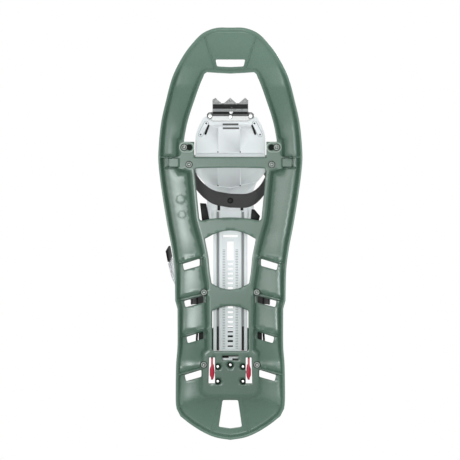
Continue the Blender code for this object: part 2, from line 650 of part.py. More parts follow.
def buckle(prefix, x, y, z, half):
    """Ratchet buckle: a channel for the ladder, a pin through its cheeks and a lever that turns on the pin.
    x is the channel's inner end, and the lever lies towards -X."""
    out = half + 0.0006
    x0, x1 = x - BUCKLE_LENGTH, x
    side = [(out + CHEEK, 0), (out + CHEEK, BUCKLE_HEIGHT), (out, BUCKLE_HEIGHT), (out, BUCKLE_FLOOR)]
    body = prism(f"{prefix}_buckle", "black_plastic", [(y + u, z + v) for u, v in mirrored(side)], x0, x1, "X")
    pin_at = (x - 0.008, y, z + BUCKLE_HEIGHT - 0.0042)
    bore = rod(f"{prefix}_pin_bore", None, 0.0015 + GAP, -out - 0.004, out + 0.004, "Y", pin_at, 12)
    boolean(body, [bore], "DIFFERENCE")
    rod(f"{prefix}_buckle_pin", "steel", 0.0015, -out - CHEEK, out + CHEEK, "Y", pin_at, 12)
    wide = out - 0.0008
    # The end round the pin stays inside CAM_R, which clears the ladder at any angle.
    cam = [(CAM_R * math.cos(a), CAM_R * math.sin(a)) for a in (-1.9, -1.3, -0.7, -0.1, 0.5, 1.1)]
    handle = [
        (-0.006, 0.0042), (-0.020, 0.0052), (-0.033, 0.0030), (-0.034, 0.0012), (-0.020, 0.0016), (-0.006, -0.0008),
    ]
    outline = [(pin_at[0] + u, pin_at[2] + v) for u, v in cam + handle]
    lever = prism(f"{prefix}_buckle_lever", "black_plastic", outline, y - wide, y + wide, "Y")
    hole = rod(f"{prefix}_lever_bore", None, 0.0015 + GAP, -out - 0.004, out + 0.004, "Y", pin_at, 12)
    boolean(lever, [hole], "DIFFERENCE")


def ladder(name, finish, points, half, height, steps=4):
    """A strap whose width keeps square to its path and as near the Y axis as it can."""
    path = smooth(points, steps)

    def side(i, point):
        along = (path[min(i + 1, len(path) - 1)] - path[max(i - 1, 0)]).normalized()
        return (Vector((0, 1, 0)) - along * along.y).normalized() * half

    band(name, finish, path, side, height)


TOE_BUCKLE_X = -0.0020
TOE_FLOOR_Z = TOE_TOP + STRAP_THICKNESS / 2 + GAP
TOE_LADDER_Z = TOE_FLOOR_Z + BUCKLE_FLOOR + GAP + LADDER_T / 2


def toe_closure():
    buckle("toe", TOE_BUCKLE_X, TOE_STRAP_Y, TOE_FLOOR_Z, 0.0075)
    flat = TOE_TOP + STRAP_THICKNESS / 2 + GAP + LADDER_T / 2
    points = [(0.0260, TOE_STRAP_Y, flat), (0.0120, TOE_STRAP_Y, flat), (0.0020, TOE_STRAP_Y, TOE_LADDER_Z)]
    ends = [(-0.0300, 0), (-0.0440, 0.004), (-0.0560, 0.015), (-0.0610, 0.029)]
    points += [(x, TOE_STRAP_Y, TOE_LADDER_Z - drop) for x, drop in ends]
    ladder("toe_ladder", "clear_strap", points, 0.0070, LADDER_T)
    head = [(0, 0), (0.0036, 0), (0.0036, 0.0006), (0.0022, 0.0018), (0, 0.0018)]
    turned("toe_ladder_rivet", "steel", head, (0.0185, TOE_STRAP_Y, flat + LADDER_T / 2 + GAP), 12)


# ---- Heel piece -------------------------------------------------------------------------------------------
HEEL_BACK_Y = RAIL_END_Y
CUP_BACK_Y = HEEL_BACK_Y + 0.0075
CUP_FRONT_Y = HEEL_FRONT_Y - CUP_REACH
CUP_T = 0.0030
CUP_Z = SOLE_Z + 0.010
POST_Y = (HEEL_FRONT_Y + HEEL_BACK_Y) / 2
LATCH_Y = HEEL_FRONT_Y + 0.0200
LATCH_Z = PLATE_Z + 0.0005
LATCH_PIN_R = 0.0009


def heel_plate():
    """Plate that slides on the rail, with a post on each side that carries the cup."""
    wide = HEEL_HALF - 0.0006
    half = [(0, HEEL_FRONT_Y), (0.024, HEEL_FRONT_Y), (0.030, HEEL_FRONT_Y + 0.005), (wide, HEEL_FRONT_Y + 0.007)]
    half += [(wide, HEEL_BACK_Y - 0.007), (0.030, HEEL_BACK_Y - 0.003), (0.024, HEEL_BACK_Y), (0, HEEL_BACK_Y)]
    plate = prism("heel_plate", "black_plastic", mirrored(half), PLATE_Z, SOLE_Z)
    posts = []
    for side in (1, -1):
        near, far = sorted((side * (HEEL_HALF - 0.0040), side * (HEEL_HALF - 0.0010)))
        low, high = (near, POST_Y - 0.010, SOLE_Z - 0.001), (far, POST_Y + 0.002, CUP_Z + 0.016)
        posts.append(block(f"cup_post_{side}", None, low, high))
    boolean(plate, posts, "UNION")
    low, high = (-0.0085, LATCH_Y - 0.0160, PLATE_Z - 0.002), (0.0085, LATCH_Y + 0.0060, SOLE_Z + 0.002)
    hole = block("lock_opening", None, low, high)
    boolean(plate, [hole], "DIFFERENCE")


def length_latch():
    """Spring latch of the length adjustment: a finger tab in front of its pin and a tooth behind it."""
    tab = [(-0.0110, 0.0022), (-0.0145, 0.0010), (-0.0145, -0.0006), (-0.0030, -0.0022)]
    outline = [(0.0046, -0.0050), (0.0046, 0.0022), *tab, (0.0016, -0.0022), (0.0016, -0.0050)]
    outline = [(LATCH_Y + u, LATCH_Z + v) for u, v in outline]
    body = prism("length_latch", "black_plastic", outline, -0.0060, 0.0060, "X")
    hole = rod("latch_bore", None, LATCH_PIN_R + GAP, -0.010, 0.010, "X", (0, LATCH_Y, LATCH_Z), 12)
    boolean(body, [hole], "DIFFERENCE")
    rod("latch_pin", "steel", LATCH_PIN_R, -0.0082, 0.0082, "X", (0, LATCH_Y, LATCH_Z), 10)


def cup_rise(y):
    """The cup's arms climb towards the ankle."""
    return 0.008 * max(0.0, (HEEL_FRONT_Y - y) / CUP_REACH)


def heel_cup():
    wall = HEEL_HALF + CUP_T / 2
    half = [(0.0, CUP_BACK_Y), (0.022, CUP_BACK_Y - 0.002), (wall - 0.009, CUP_BACK_Y - 0.0085), (wall, POST_Y + 0.006)]
    half += [(wall, POST_Y - 0.012), (wall, POST_Y - 0.060), (HEEL_HALF + 0.0060, CUP_FRONT_Y)]
    z = CUP_Z + CUP_HEIGHT / 2
    right = smooth([(x, y, z) for x, y in half], 4)
    path = [Vector((-p.x, p.y, p.z)) for p in reversed(right)] + right[1:]
    for p in path:
        p.z += cup_rise(p.y)

    def side(i, point):
        return Vector((0, 0, CUP_HEIGHT / 2 * (1.0 - 0.25 * max(0.0, (HEEL_FRONT_Y - point.y) / CUP_REACH))))

    band("heel_cup", "black_plastic", path, side, CUP_T)


ANKLE_Y = CUP_FRONT_Y + 0.013
ANKLE_X = HEEL_HALF + 0.0060 + CUP_T / 2 + 2 * GAP + STRAP_THICKNESS / 2


def ankle_strap():
    """Left and right straps riveted to the cup, and the ladder that joins them over the ankle."""
    low = CUP_Z + 0.018
    rise = [(ANKLE_X, ANKLE_Y, low), (ANKLE_X, ANKLE_Y, low + 0.022), (ANKLE_X - 0.006, ANKLE_Y, low + 0.046)]
    crown = [(0.0390, ANKLE_Y, ANKLE_TOP - 0.0085), (0.0310, ANKLE_Y, ANKLE_TOP - 0.0022)]
    crown.append((0.0235, ANKLE_Y, ANKLE_TOP - 0.0002))
    top = [(0.0160, ANKLE_Y, ANKLE_TOP - 0.0001), (0.0100, ANKLE_Y, ANKLE_TOP)]
    right = smooth(rise + crown + top, 4)

    def side(i, point):
        return Vector((0, ANKLE_STRAP_HALF, 0))

    band("ankle_strap_right", "grey_rubber", right, side, STRAP_THICKNESS)
    left = smooth([(-x, y, z) for x, y, z in rise + crown + top[:1]] + [(-0.0040, ANKLE_Y, ANKLE_TOP)], 4)
    band("ankle_strap_left", "grey_rubber", left, side, STRAP_THICKNESS)
    head = [(0, 0), (0.0044, 0), (0.0044, 0.0008), (0.0026, 0.0022), (0, 0.0022)]
    for side, word in ((1, "right"), (-1, "left")):
        at = (side * (ANKLE_X + STRAP_THICKNESS / 2 + 2 * GAP), ANKLE_Y, low + 0.009)
        turned(f"ankle_rivet_{word}", "steel", head, at, 12, (0, side * math.pi / 2, 0))
    floor = ANKLE_TOP + STRAP_THICKNESS / 2 + GAP
    buckle("ankle", -0.0020, ANKLE_Y, floor, 0.0080)
    run = floor + BUCKLE_FLOOR + GAP + LADDER_T / 2
    flat = floor + LADDER_T / 2
    points = [(0.0250, ANKLE_Y, flat), (0.0120, ANKLE_Y, flat), (0.0020, ANKLE_Y, run), (-0.0330, ANKLE_Y, run)]
    # The loose end drops beside the ankle and points forward: (X, forward, down).
    loose = [(-0.0520, 0.003, 0.006), (-0.0680, 0.013, 0.018), (-0.0800, 0.031, 0.033), (-0.0862, 0.052, 0.046)]
    tip = [(-0.0866, 0.0545, 0.0475), (-0.0895, 0.070, 0.056)]
    points += [(x, ANKLE_Y - ahead, run - down) for x, ahead, down in loose]
    ladder("ankle_ladder", "clear_strap", points, 0.0074, LADDER_T)
    tip = [(x, ANKLE_Y - ahead, run - down) for x, ahead, down in tip]
    ladder("ankle_ladder_tip", "black_plastic", tip, 0.0078, LADDER_T + 0.0010, 2)
    head = [(0, 0), (0.0036, 0), (0.0036, 0.0006), (0.0022, 0.0018), (0, 0.0018)]
    turned("ankle_ladder_rivet", "steel", head, (0.0185, ANKLE_Y, flat + LADDER_T / 2 + GAP), 12)


# ---- Climbing aid -----------------------------------------------------------------------------------------
AID_ARM_T = 0.0030
KNUCKLE_HALF = 0.0033


def climbing_aid():
    """Two arms on a pin through the heel rest, joined at the front by a bar behind the rail's end."""
    z = PIN_Z
    bar_y = AID_Y - AID_REACH
    low = z - PIN_R - 0.0012
    # Side view of an arm as (y, z): thin tail, pivot lobe, then the run forward to the bar.
    arm = [
        (AID_Y + 0.0110, z - 0.0012), (AID_Y + 0.0050, low), (AID_Y - 0.0050, low), (bar_y - 0.0021, low),
        (bar_y - 0.0021, z + 0.0020), (AID_Y - 0.0110, z + 0.0026), (AID_Y - 0.0040, z + 0.0046),
        (AID_Y + 0.0050, z + 0.0042), (AID_Y + 0.0110, z + 0.0014),
    ]
    inner_x = AID_ARM_X - AID_ARM_T / 2
    body = prism("climbing_aid", "red_plastic", arm, inner_x, inner_x + AID_ARM_T, "X")
    other = prism("aid_left_arm", None, arm, -inner_x - AID_ARM_T, -inner_x, "X")
    reach = inner_x + 0.0010
    cross = block("aid_bar", None, (-reach, bar_y - 0.0019, low + 0.0002), (reach, bar_y + 0.0021, z + 0.0018))
    # A knuckle on each arm round the pin, in plan.
    knuckle = [(-0.0024, -0.0110), (0.0012, -0.0105), (KNUCKLE_HALF, -0.0040), (KNUCKLE_HALF, 0.0045)]
    knuckle += [(0.0006, 0.0105), (-0.0020, 0.0095), (-KNUCKLE_HALF, 0.0045), (-KNUCKLE_HALF, -0.0045)]
    joined = [cross, other]
    for side in (1, -1):
        plan = [(side * (AID_ARM_X + u), AID_Y + v) for u, v in knuckle]
        joined.append(prism(f"aid_knuckle_{side}", None, plan, z - 0.0030, z + 0.0034))
    boolean(body, joined, "UNION")
    hole = rod("aid_arm_bore", None, PIN_R + GAP, -inner_x - 0.006, inner_x + 0.006, "X", (0, AID_Y, PIN_Z), 16)
    boolean(body, [hole], "DIFFERENCE")
    reach = AID_ARM_X + KNUCKLE_HALF
    rod("aid_pin", "steel", PIN_R, -reach, reach, "X", (0, AID_Y, PIN_Z), 16)


deck()
studs()
axle()
heel_rest()
toe_plate()
claw()
adjuster_rail()
toe_strap()
strap_ends()
toe_closure()
heel_plate()
length_latch()
heel_cup()
ankle_strap()
climbing_aid()
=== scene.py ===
import json
import math

import bmesh
import bpy
import numpy as np
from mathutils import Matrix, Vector
from mathutils.bvhtree import BVHTree
from mathutils.geometry import delaunay_2d_cdt


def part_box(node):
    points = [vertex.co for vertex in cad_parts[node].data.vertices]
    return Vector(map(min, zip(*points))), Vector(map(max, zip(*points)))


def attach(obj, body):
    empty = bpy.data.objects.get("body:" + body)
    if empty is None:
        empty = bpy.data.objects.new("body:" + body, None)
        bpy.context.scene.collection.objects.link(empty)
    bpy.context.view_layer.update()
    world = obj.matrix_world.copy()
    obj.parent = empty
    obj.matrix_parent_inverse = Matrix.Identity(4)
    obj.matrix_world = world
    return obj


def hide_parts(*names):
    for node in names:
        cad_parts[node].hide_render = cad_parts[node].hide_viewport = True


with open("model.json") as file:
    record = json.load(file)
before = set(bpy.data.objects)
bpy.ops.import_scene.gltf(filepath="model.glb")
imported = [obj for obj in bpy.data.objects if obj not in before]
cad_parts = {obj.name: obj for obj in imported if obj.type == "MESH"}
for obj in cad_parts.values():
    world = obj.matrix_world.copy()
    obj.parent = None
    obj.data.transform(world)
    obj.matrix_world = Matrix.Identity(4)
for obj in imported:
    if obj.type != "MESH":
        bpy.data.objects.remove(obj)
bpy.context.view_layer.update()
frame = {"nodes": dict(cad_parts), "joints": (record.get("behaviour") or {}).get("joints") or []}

# Studio: the shoe lies on its studs, and the camera looks straight up at its sole with the nose at the top.
# The pale floor is seen from above only and is left out of shadows and reflections, so that light and view
# from below pass through it. Two small lights near the camera's axis draw the gloss along the rails.
PICTURE_WIDTH = 0.6571
CAMERA_DISTANCE = 12.0
AIM_X, AIM_Y = -0.0005, -0.005
SOLE_LEVEL = 0.016
SHOE_MIDDLE = 0.02
FLOOR_HALF, FLOOR_LEVEL = 4.0, -0.0006


def srgb(code):
    """A hex colour as linear values."""
    parts = [int(code[i : i + 2], 16) / 255 for i in (1, 3, 5)]
    return tuple(c / 12.92 if c <= 0.04045 else ((c + 0.055) / 1.055) ** 2.4 for c in parts) + (1.0,)


def add(tree, kind, links=None, **settings):
    """A node with its settings and its inputs' values or links."""
    node = tree.nodes.new(kind)
    for name, value in settings.items():
        setattr(node, name, value)
    for socket, value in (links or {}).items():
        if isinstance(value, bpy.types.NodeSocket):
            tree.links.new(value, node.inputs[socket])
        else:
            node.inputs[socket].default_value = value
    return node


camera_data = bpy.data.cameras.new("camera")
camera_data.sensor_width = 36.0
camera_data.lens = camera_data.sensor_width * CAMERA_DISTANCE / PICTURE_WIDTH
camera = bpy.data.objects.new("camera", camera_data)
camera.location = (AIM_X, AIM_Y, SOLE_LEVEL - CAMERA_DISTANCE)
camera.rotation_euler = (math.pi, 0, 0)
bpy.context.scene.collection.objects.link(camera)
bpy.context.scene.camera = camera
bpy.context.scene.view_settings.view_transform = "Standard"

world = bpy.data.worlds.new("white studio")
bpy.context.scene.world = world
world.use_nodes = True
surround = world.node_tree.nodes["Background"]
surround.inputs["Color"].default_value = srgb("#ffffff")
surround.inputs["Strength"].default_value = 1.0


def soft_light(name, spot, target, power, wide, long, tint=(1.0, 1.0, 1.0)):
    """A rectangular light that is aimed at a point of the plan and isn't seen itself."""
    data = bpy.data.lights.new(name, "AREA")
    data.energy = power
    data.color = tint
    data.shape = "RECTANGLE"
    data.size, data.size_y = wide, long
    lamp = bpy.data.objects.new(name, data)
    lamp.location = spot
    aim = Vector((*target, SHOE_MIDDLE)) - Vector(spot)
    lamp.rotation_euler = aim.to_track_quat("-Z", "Y").to_euler()
    lamp.visible_camera = False
    bpy.context.scene.collection.objects.link(lamp)


soft_light("gloss_below_left", (-0.18, -0.01, -0.90), (-0.07, -0.01), 2.6, 0.10, 0.13, (0.94, 1.0, 0.99))
soft_light("gloss_below_right", (0.21, -0.05, -0.90), (0.07, -0.05), 1.0, 0.12, 0.24)
soft_light("fill_below", (0.10, -0.25, -2.2), (0, 0), 3, 1.2, 1.2)
soft_light("key_above", (0.9, -0.9, 1.5), (0, 0), 14, 0.7, 0.7)

floor_mesh = bpy.data.meshes.new("floor")
corners = [(x * FLOOR_HALF, y * FLOOR_HALF, FLOOR_LEVEL) for x, y in ((-1, -1), (1, -1), (1, 1), (-1, 1))]
floor_mesh.from_pydata(corners, [], [(0, 1, 2, 3)])
floor = bpy.data.objects.new("floor", floor_mesh)
bpy.context.scene.collection.objects.link(floor)
floor.visible_shadow = False
floor.visible_glossy = False
paper = bpy.data.materials.new("white paper sweep")
paper.use_nodes = True
tree = paper.node_tree
tree.nodes.clear()
side_seen = add(tree, "ShaderNodeNewGeometry")
matt = add(tree, "ShaderNodeBsdfDiffuse", {"Color": srgb("#e9eaec")})
clear = add(tree, "ShaderNodeBsdfTransparent")
shares = {0: side_seen.outputs["Backfacing"], 1: matt.outputs[0], 2: clear.outputs[0]}
mixed = add(tree, "ShaderNodeMixShader", shares)
add(tree, "ShaderNodeOutputMaterial", {"Surface": mixed.outputs[0]})
floor_mesh.materials.append(paper)

# Deck: one injection-moulded shell of glass-filled polypropylene. Hollow rails run from the nose to the tail,
# joined by three flat cross members and a heel panel. Its plan is triangulated with all its openings, and the
# lower and the upper skin are raised from it by their distance to the rims.
DECK_LOW, DECK_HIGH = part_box("deck")
HALF_LENGTH = (DECK_HIGH.y - DECK_LOW.y) / 2
HALF_WIDTH = (DECK_HIGH.x - DECK_LOW.x) / 2
PIVOT = next(Vector(j["pos_m"]) for j in frame["joints"] if j["name"] == "binding_pivot")
AID = next(Vector(j["pos_m"]) for j in frame["joints"] if j["name"] == "climbing_aid")
RAIL_LOW, RAIL_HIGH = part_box("adjuster_rail")
PLATE_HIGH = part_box("toe_plate")[1]
SOLE_UNDER = PLATE_HIGH.z - 0.003
RIM_Z = DECK_LOW.z
CHANNEL_RISE = 0.012
SKIN = 0.003
CROSS_DEPTH = 0.0075
LIP = 0.0026
SLOPE = 0.0048
EDGE_R = 0.0009
BOSS_X = PLATE_HIGH.x + 0.0015
BOSS_WIDTH = 0.019
RAIL_HALF = RAIL_HIGH.x
RAIL_END_Y = RAIL_HIGH.y
NOSE_Y, TAIL_Y = -HALF_LENGTH, HALF_LENGTH
PANEL_END_Y = AID.y + 0.033
CROSS_1 = (PIVOT.y + 0.001, PIVOT.y + 0.016)
CROSS_2 = (-0.023, -0.0045)
CROSS_3 = (0.080, 0.103)
BOSS_FRONT, BOSS_BACK = PIVOT.y - 0.021, PIVOT.y + 0.015
ARM_SLOT = (0.0220, 0.0302, AID.y - 0.021, AID.y + 0.016)

# The outer outline as shares of the half-length along Y and of the half-width, in three smooth runs that meet
# at corners, and the half-width between the rails at places along Y.
OUTLINE = [
    (-1.000, 0.00), (-0.998, 0.20), (-0.973, 0.38), (-0.925, 0.52), (-0.858, 0.66), (-0.760, 0.80),
    (-0.640, 0.893), (-0.529, 0.961), (-0.400, 0.995), (-0.320, 0.990), (-0.200, 0.947), (-0.045, 0.875),
    (0.070, 0.812), (0.180, 0.773), (0.325, 0.763),
]
FLANK = [(0.365, 0.731), (0.540, 0.731), (0.640, 0.751), (0.800, 0.756), (0.848, 0.744)]
TAIL = [(0.885, 0.691), (0.925, 0.546), (0.963, 0.372), (0.988, 0.200), (1.000, 0.0)]
INNER = [
    (PIVOT.y + 0.016, BOSS_X), (PIVOT.y + 0.063, PLATE_HIGH.x - 0.0030),
    (CROSS_2[0] + 0.003, RAIL_HALF + 0.0200), (CROSS_2[1] + 0.013, RAIL_HALF + 0.0120),
    (0.033, RAIL_HALF + 0.0070), (0.056, RAIL_HALF + 0.0050), (CROSS_3[0] - 0.006, RAIL_HALF + 0.0020),
    (CROSS_3[1], RAIL_HALF + 0.0015), (RAIL_END_Y + 0.001, RAIL_HALF + 0.0015),
]


def smooth(points, steps):
    """Points along a smooth curve through the given ones."""
    ends = [Vector(p) for p in points]
    ends = [2 * ends[0] - ends[1]] + ends + [2 * ends[-1] - ends[-2]]
    made = []
    for a, b, c, d in zip(ends, ends[1:], ends[2:], ends[3:]):
        for i in range(steps):
            t = i / steps
            bend, twist = 2 * a - 5 * b + 4 * c - d, 3 * b - a - 3 * c + d
            made.append(0.5 * (2 * b + (c - a) * t + bend * t**2 + twist * t**3))
    made.append(ends[-2])
    return made


def mirrored(half):
    """A closed loop from its right half."""
    return half + [(-x, y) for x, y in reversed(half) if x > 1e-6]


def deck_outline(steps):
    right = []
    for part in (OUTLINE, FLANK, TAIL):
        curve = smooth([(y * HALF_LENGTH, x * HALF_WIDTH, 0) for y, x in part], steps)
        right += [(p[1], p[0]) for p in curve if p[1] > 1e-6]
    return mirrored([(0, NOSE_Y)] + right + [(0, TAIL_Y)])


outer = deck_outline(8)


def half_width(y):
    """Half-width of the deck at a place along Y."""
    right = sorted((p[1], p[0]) for p in outer if p[0] >= 0)
    return float(np.interp(y, [p[0] for p in right], [p[1] for p in right]))


def inner(y):
    return float(np.interp(y, [p[0] for p in INNER], [p[1] for p in INNER]))


def front_opening(steps):
    """The opening before the first cross member, narrowed by the bosses at its back corners."""
    low, high = NOSE_Y + 0.071, BOSS_FRONT
    right = []
    for i in range(steps + 1):
        y = low + (high - low) * i / steps
        rail = 0.0355 + 0.0085 * (1 - i / steps) ** 1.2
        right.append((half_width(y) - rail, y))
    corner = right[0][0]
    arc = [(corner - 0.0015, low - 0.004), (corner - 0.005, low - 0.0065), (corner * 0.5, low - 0.0055)]
    half = [(0, low - 0.0045)] + list(reversed(arc)) + right + [(BOSS_X, BOSS_FRONT), (BOSS_X, CROSS_1[0])]
    return mirrored(half)


def bay(front, back, arch_front, arch_back, steps):
    """An opening between two cross members, with arched ends and cut corners."""
    wide = inner(front) - 0.003
    half = [(0, front + arch_front)]
    half += [(wide * t, front + arch_front * (1 - t * t)) for t in (0.25, 0.5, 0.75, 1.0)]
    half += [(wide + 0.0021, front + 0.0009)]
    for i in range(steps + 1):
        y = front + 0.003 + (back - front - 0.006) * i / steps
        half.append((inner(y), y))
    wide = inner(back) - 0.003
    half += [(wide + 0.0021, back - 0.0009)]
    half += [(wide * t, back + arch_back * (1 - t * t)) for t in (1.0, 0.75, 0.5, 0.25, 0.0)]
    return mirrored(half)


def rounded(loop, radius):
    """A loop with each corner cut by a short arc."""
    made = []
    for a, b, c in zip(loop[-1:] + loop[:-1], loop, loop[1:] + loop[:1]):
        a, b, c = Vector(a), Vector(b), Vector(c)
        before, after = (a - b).normalized(), (c - b).normalized()
        reach = min(radius, (a - b).length * 0.45, (c - b).length * 0.45)
        for t in (0.0, 0.33, 0.67, 1.0):
            made.append(tuple(b + before * reach * (1 - t) ** 2 + after * reach * t**2))
    return made


SLOT_Y = [0.0436, 0.0964, 0.1479, 0.2022]
SLOT_NEAR = [inner(SLOT_Y[0]) + 0.0135, RAIL_HALF + 0.0143, RAIL_HALF + 0.0143, ARM_SLOT[1] + 0.0112]


def side_slots():
    """The slots through the floors of the rails, each behind a raised lip."""
    slots = []
    for y, near in zip(SLOT_Y, SLOT_NEAR):
        far = half_width(y) - 0.0125
        shape = [(near, y - 0.0075), (far, y), (far - 0.002, y + 0.0088), (near, y + 0.0025)]
        slots.append(rounded(shape, 0.0018))
        slots.append([(-x, yy) for x, yy in reversed(slots[-1])])
    return slots


def centre_panel(steps):
    """The flat middle: bosses, cross members and heel panel, without the rails' channels."""
    half = [(BOSS_X + BOSS_WIDTH, BOSS_FRONT), (BOSS_X + BOSS_WIDTH, BOSS_BACK)]
    for i in range(steps + 1):
        y = BOSS_BACK + 0.004 + (RAIL_END_Y - BOSS_BACK - 0.004) * i / steps
        half.append((inner(y) + 0.004, y))
    heel = ARM_SLOT[1] + 0.006
    half += [(heel, RAIL_END_Y + 0.004), (heel + 0.001, PANEL_END_Y - 0.004), (heel - 0.004, PANEL_END_Y)]
    return mirrored(half)


def dense(loop, gap):
    """The loop with points no further apart than the gap."""
    made = []
    for a, b in zip(loop, loop[1:] + loop[:1]):
        a, b = Vector(a), Vector(b)
        count = max(1, math.ceil((b - a).length / gap))
        made += [tuple(a + (b - a) * i / count) for i in range(count)]
    return made


def distance(points, loop, closed=True):
    """From each point to the nearest edge of a loop or line, in plan."""
    a = np.array(loop, float)
    b = np.roll(a, -1, axis=0)
    if not closed:
        a, b = a[:-1], b[:-1]
    best = np.full(len(points), 1e9)
    for start, end in zip(a, b):
        d = end - start
        t = np.clip(((points - start) @ d) / (d @ d + 1e-18), 0, 1)
        best = np.minimum(best, np.sum((points - start - t[:, None] * d) ** 2, axis=1))
    return np.sqrt(best)


def inside(points, loop):
    """Whether each point lies inside a loop."""
    x, y = points[:, 0], points[:, 1]
    odd = np.zeros(len(points), bool)
    for (ax, ay), (bx, by) in zip(loop, loop[1:] + loop[:1]):
        if ay == by:
            continue
        odd ^= ((ay > y) != (by > y)) & (x < (bx - ax) * (y - ay) / (by - ay) + ax)
    return odd


front = dense(front_opening(30), 0.004)
bays = [
    dense(bay(CROSS_1[1] + 0.001, CROSS_2[0] + 0.0045, -0.001, -0.0045, 14), 0.004),
    dense(bay(CROSS_2[1] + 0.011, CROSS_3[0] - 0.007, -0.011, 0.007, 14), 0.004),
    dense(bay(CROSS_3[1] + 0.006, RAIL_END_Y, -0.006, 0.0, 10), 0.004),
]
x0, x1, y0, y1 = ARM_SLOT
arm_slot = rounded([(x0, y0), (x1, y0), (x1 + 0.001, y1), (x0, y1)], 0.0012)
arm_slots = [arm_slot, [(-x, y) for x, y in reversed(arm_slot)]]
WINDOW_HALF, WINDOW_Y = 0.0115, (AID.y - 0.0235, AID.y - 0.017)
window = [(x * WINDOW_HALF, WINDOW_Y[i]) for x, i in ((-1, 0), (1, 0), (1, 1), (-1, 1))]
tail_hole = [(-0.011, TAIL_Y - 0.057), (0.011, TAIL_Y - 0.057), (0.0165, TAIL_Y - 0.019)]
tail_hole = rounded(tail_hole + [(0, TAIL_Y - 0.0165), (-0.0165, TAIL_Y - 0.019)], 0.0020)
nose_slot = [(x, NOSE_Y + 0.0461) for x in (-0.0212, 0, 0.0212)]
nose_slot += [(0.0190, NOSE_Y + 0.0560), (0, NOSE_Y + 0.0570), (-0.0190, NOSE_Y + 0.0560)]
nose_slot = rounded(nose_slot, 0.0020)
panel = dense(centre_panel(24), 0.006)
holes = [front, *bays, *side_slots(), *arm_slots, rounded(window, 0.0008), tail_hole, nose_slot]
outer = dense(outer, 0.004)
rims = [outer, front, panel]

# Small raised lines and bars of the moulding on both sides: one end, the other end, half-width, and height
# towards the snow.
RIBS = []
for side in (1, -1):
    lines = []
    for y, near, height in zip(SLOT_Y, SLOT_NEAR, (0.0030, 0.0050, 0.0030, 0.0050)):
        lines.append(((near - 0.0045, y - 0.0115), (half_width(y) - 0.0060, y - 0.0012), 0.0015, height))
        lines.append(((near - 0.0030, y - 0.0100), (near - 0.0030, y + 0.0035), 0.0011, 0.0015))
    lines += [
        ((0.0364, -0.2820), (0.0224, -0.2365), 0.0011, 0.0018),
        ((0.0150, 0.2370), (0.0270, 0.2810), 0.0016, 0.0012),
        ((BOSS_X + BOSS_WIDTH, -0.1090), (0.0985, -0.1090), 0.0010, 0.0120),
        ((0.0700, -0.0935), (0.0925, -0.0935), 0.0012, 0.0030),
        ((0.0800, 0.2580), (0.0400, 0.2790), 0.0012, 0.0010),
    ]
    for (xa, ya), (xb, yb), half, height in lines:
        RIBS.append(([(side * xa, ya), (side * xb, yb)], half, height))
# The rails' floors step like shingles, each starting at one of these places along Y.
SHINGLES = [-0.010, 0.038, 0.091, 0.143, 0.197, 0.246]
# Low flats where the first cross member runs on to the outer rim.
FLATS = [(0.0700, 0.0885, -0.1085, -0.0945)]
# Shallow round marks of the mould and sinks around the screws, as (x, y, radius, depth), and the studs' pads.
SCREWS = [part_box(f"rest_screw_{n}") for n in range(1, 6)]
ROUNDS = [(-0.0710, -0.0490, 0.0056, 0.00008), (-0.0690, -0.0270, 0.0048, 0.00006)]
ROUNDS += [((a.x + b.x) / 2, (a.y + b.y) / 2, 0.0046, 0.0006) for a, b in SCREWS]
STUDS = sorted(n for n in frame["nodes"] if n.startswith("stud_"))
PADS = [((a.x + b.x) / 2, (a.y + b.y) / 2) for a, b in map(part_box, STUDS)]
PAD_R, PAD_BORE = 0.0058, 0.0048
NOSE_RISE, TAIL_RISE = 0.038, 0.008
LIFT_START = PIVOT.y - 0.04
# The channels' floors are crowned, tilt towards the snow near the middle, and run shallow at both ends.
CROWN, CROWN_REACH = 0.0010, 0.008
TILT, TILT_START, TILT_REACH = 0.060, 0.012, 0.030
NOSE_FLAT, HEEL_FLAT, FADE = NOSE_Y + 0.085, AID.y - 0.045, 0.030
NOSE_SHALLOW, HEEL_SHALLOW = 0.62, 0.50
SHINGLE_STEP, SHINGLE_LEAN, SHINGLE_X = 0.0030, 0.24, 0.060


def lift(y):
    """How far the turned-up nose and tail rise."""
    nose = np.clip((LIFT_START - y) / (LIFT_START - NOSE_Y), 0, None)
    tail = np.clip((y - PANEL_END_Y) / (TAIL_Y - PANEL_END_Y), 0, None)
    return NOSE_RISE * nose**2 + TAIL_RISE * tail**1.5


def ease(t):
    """From 0 to 1, partly rounded at both ends."""
    t = np.clip(t, 0, 1)
    return t * t * (3 - 2 * t) * 0.5 + t * 0.5


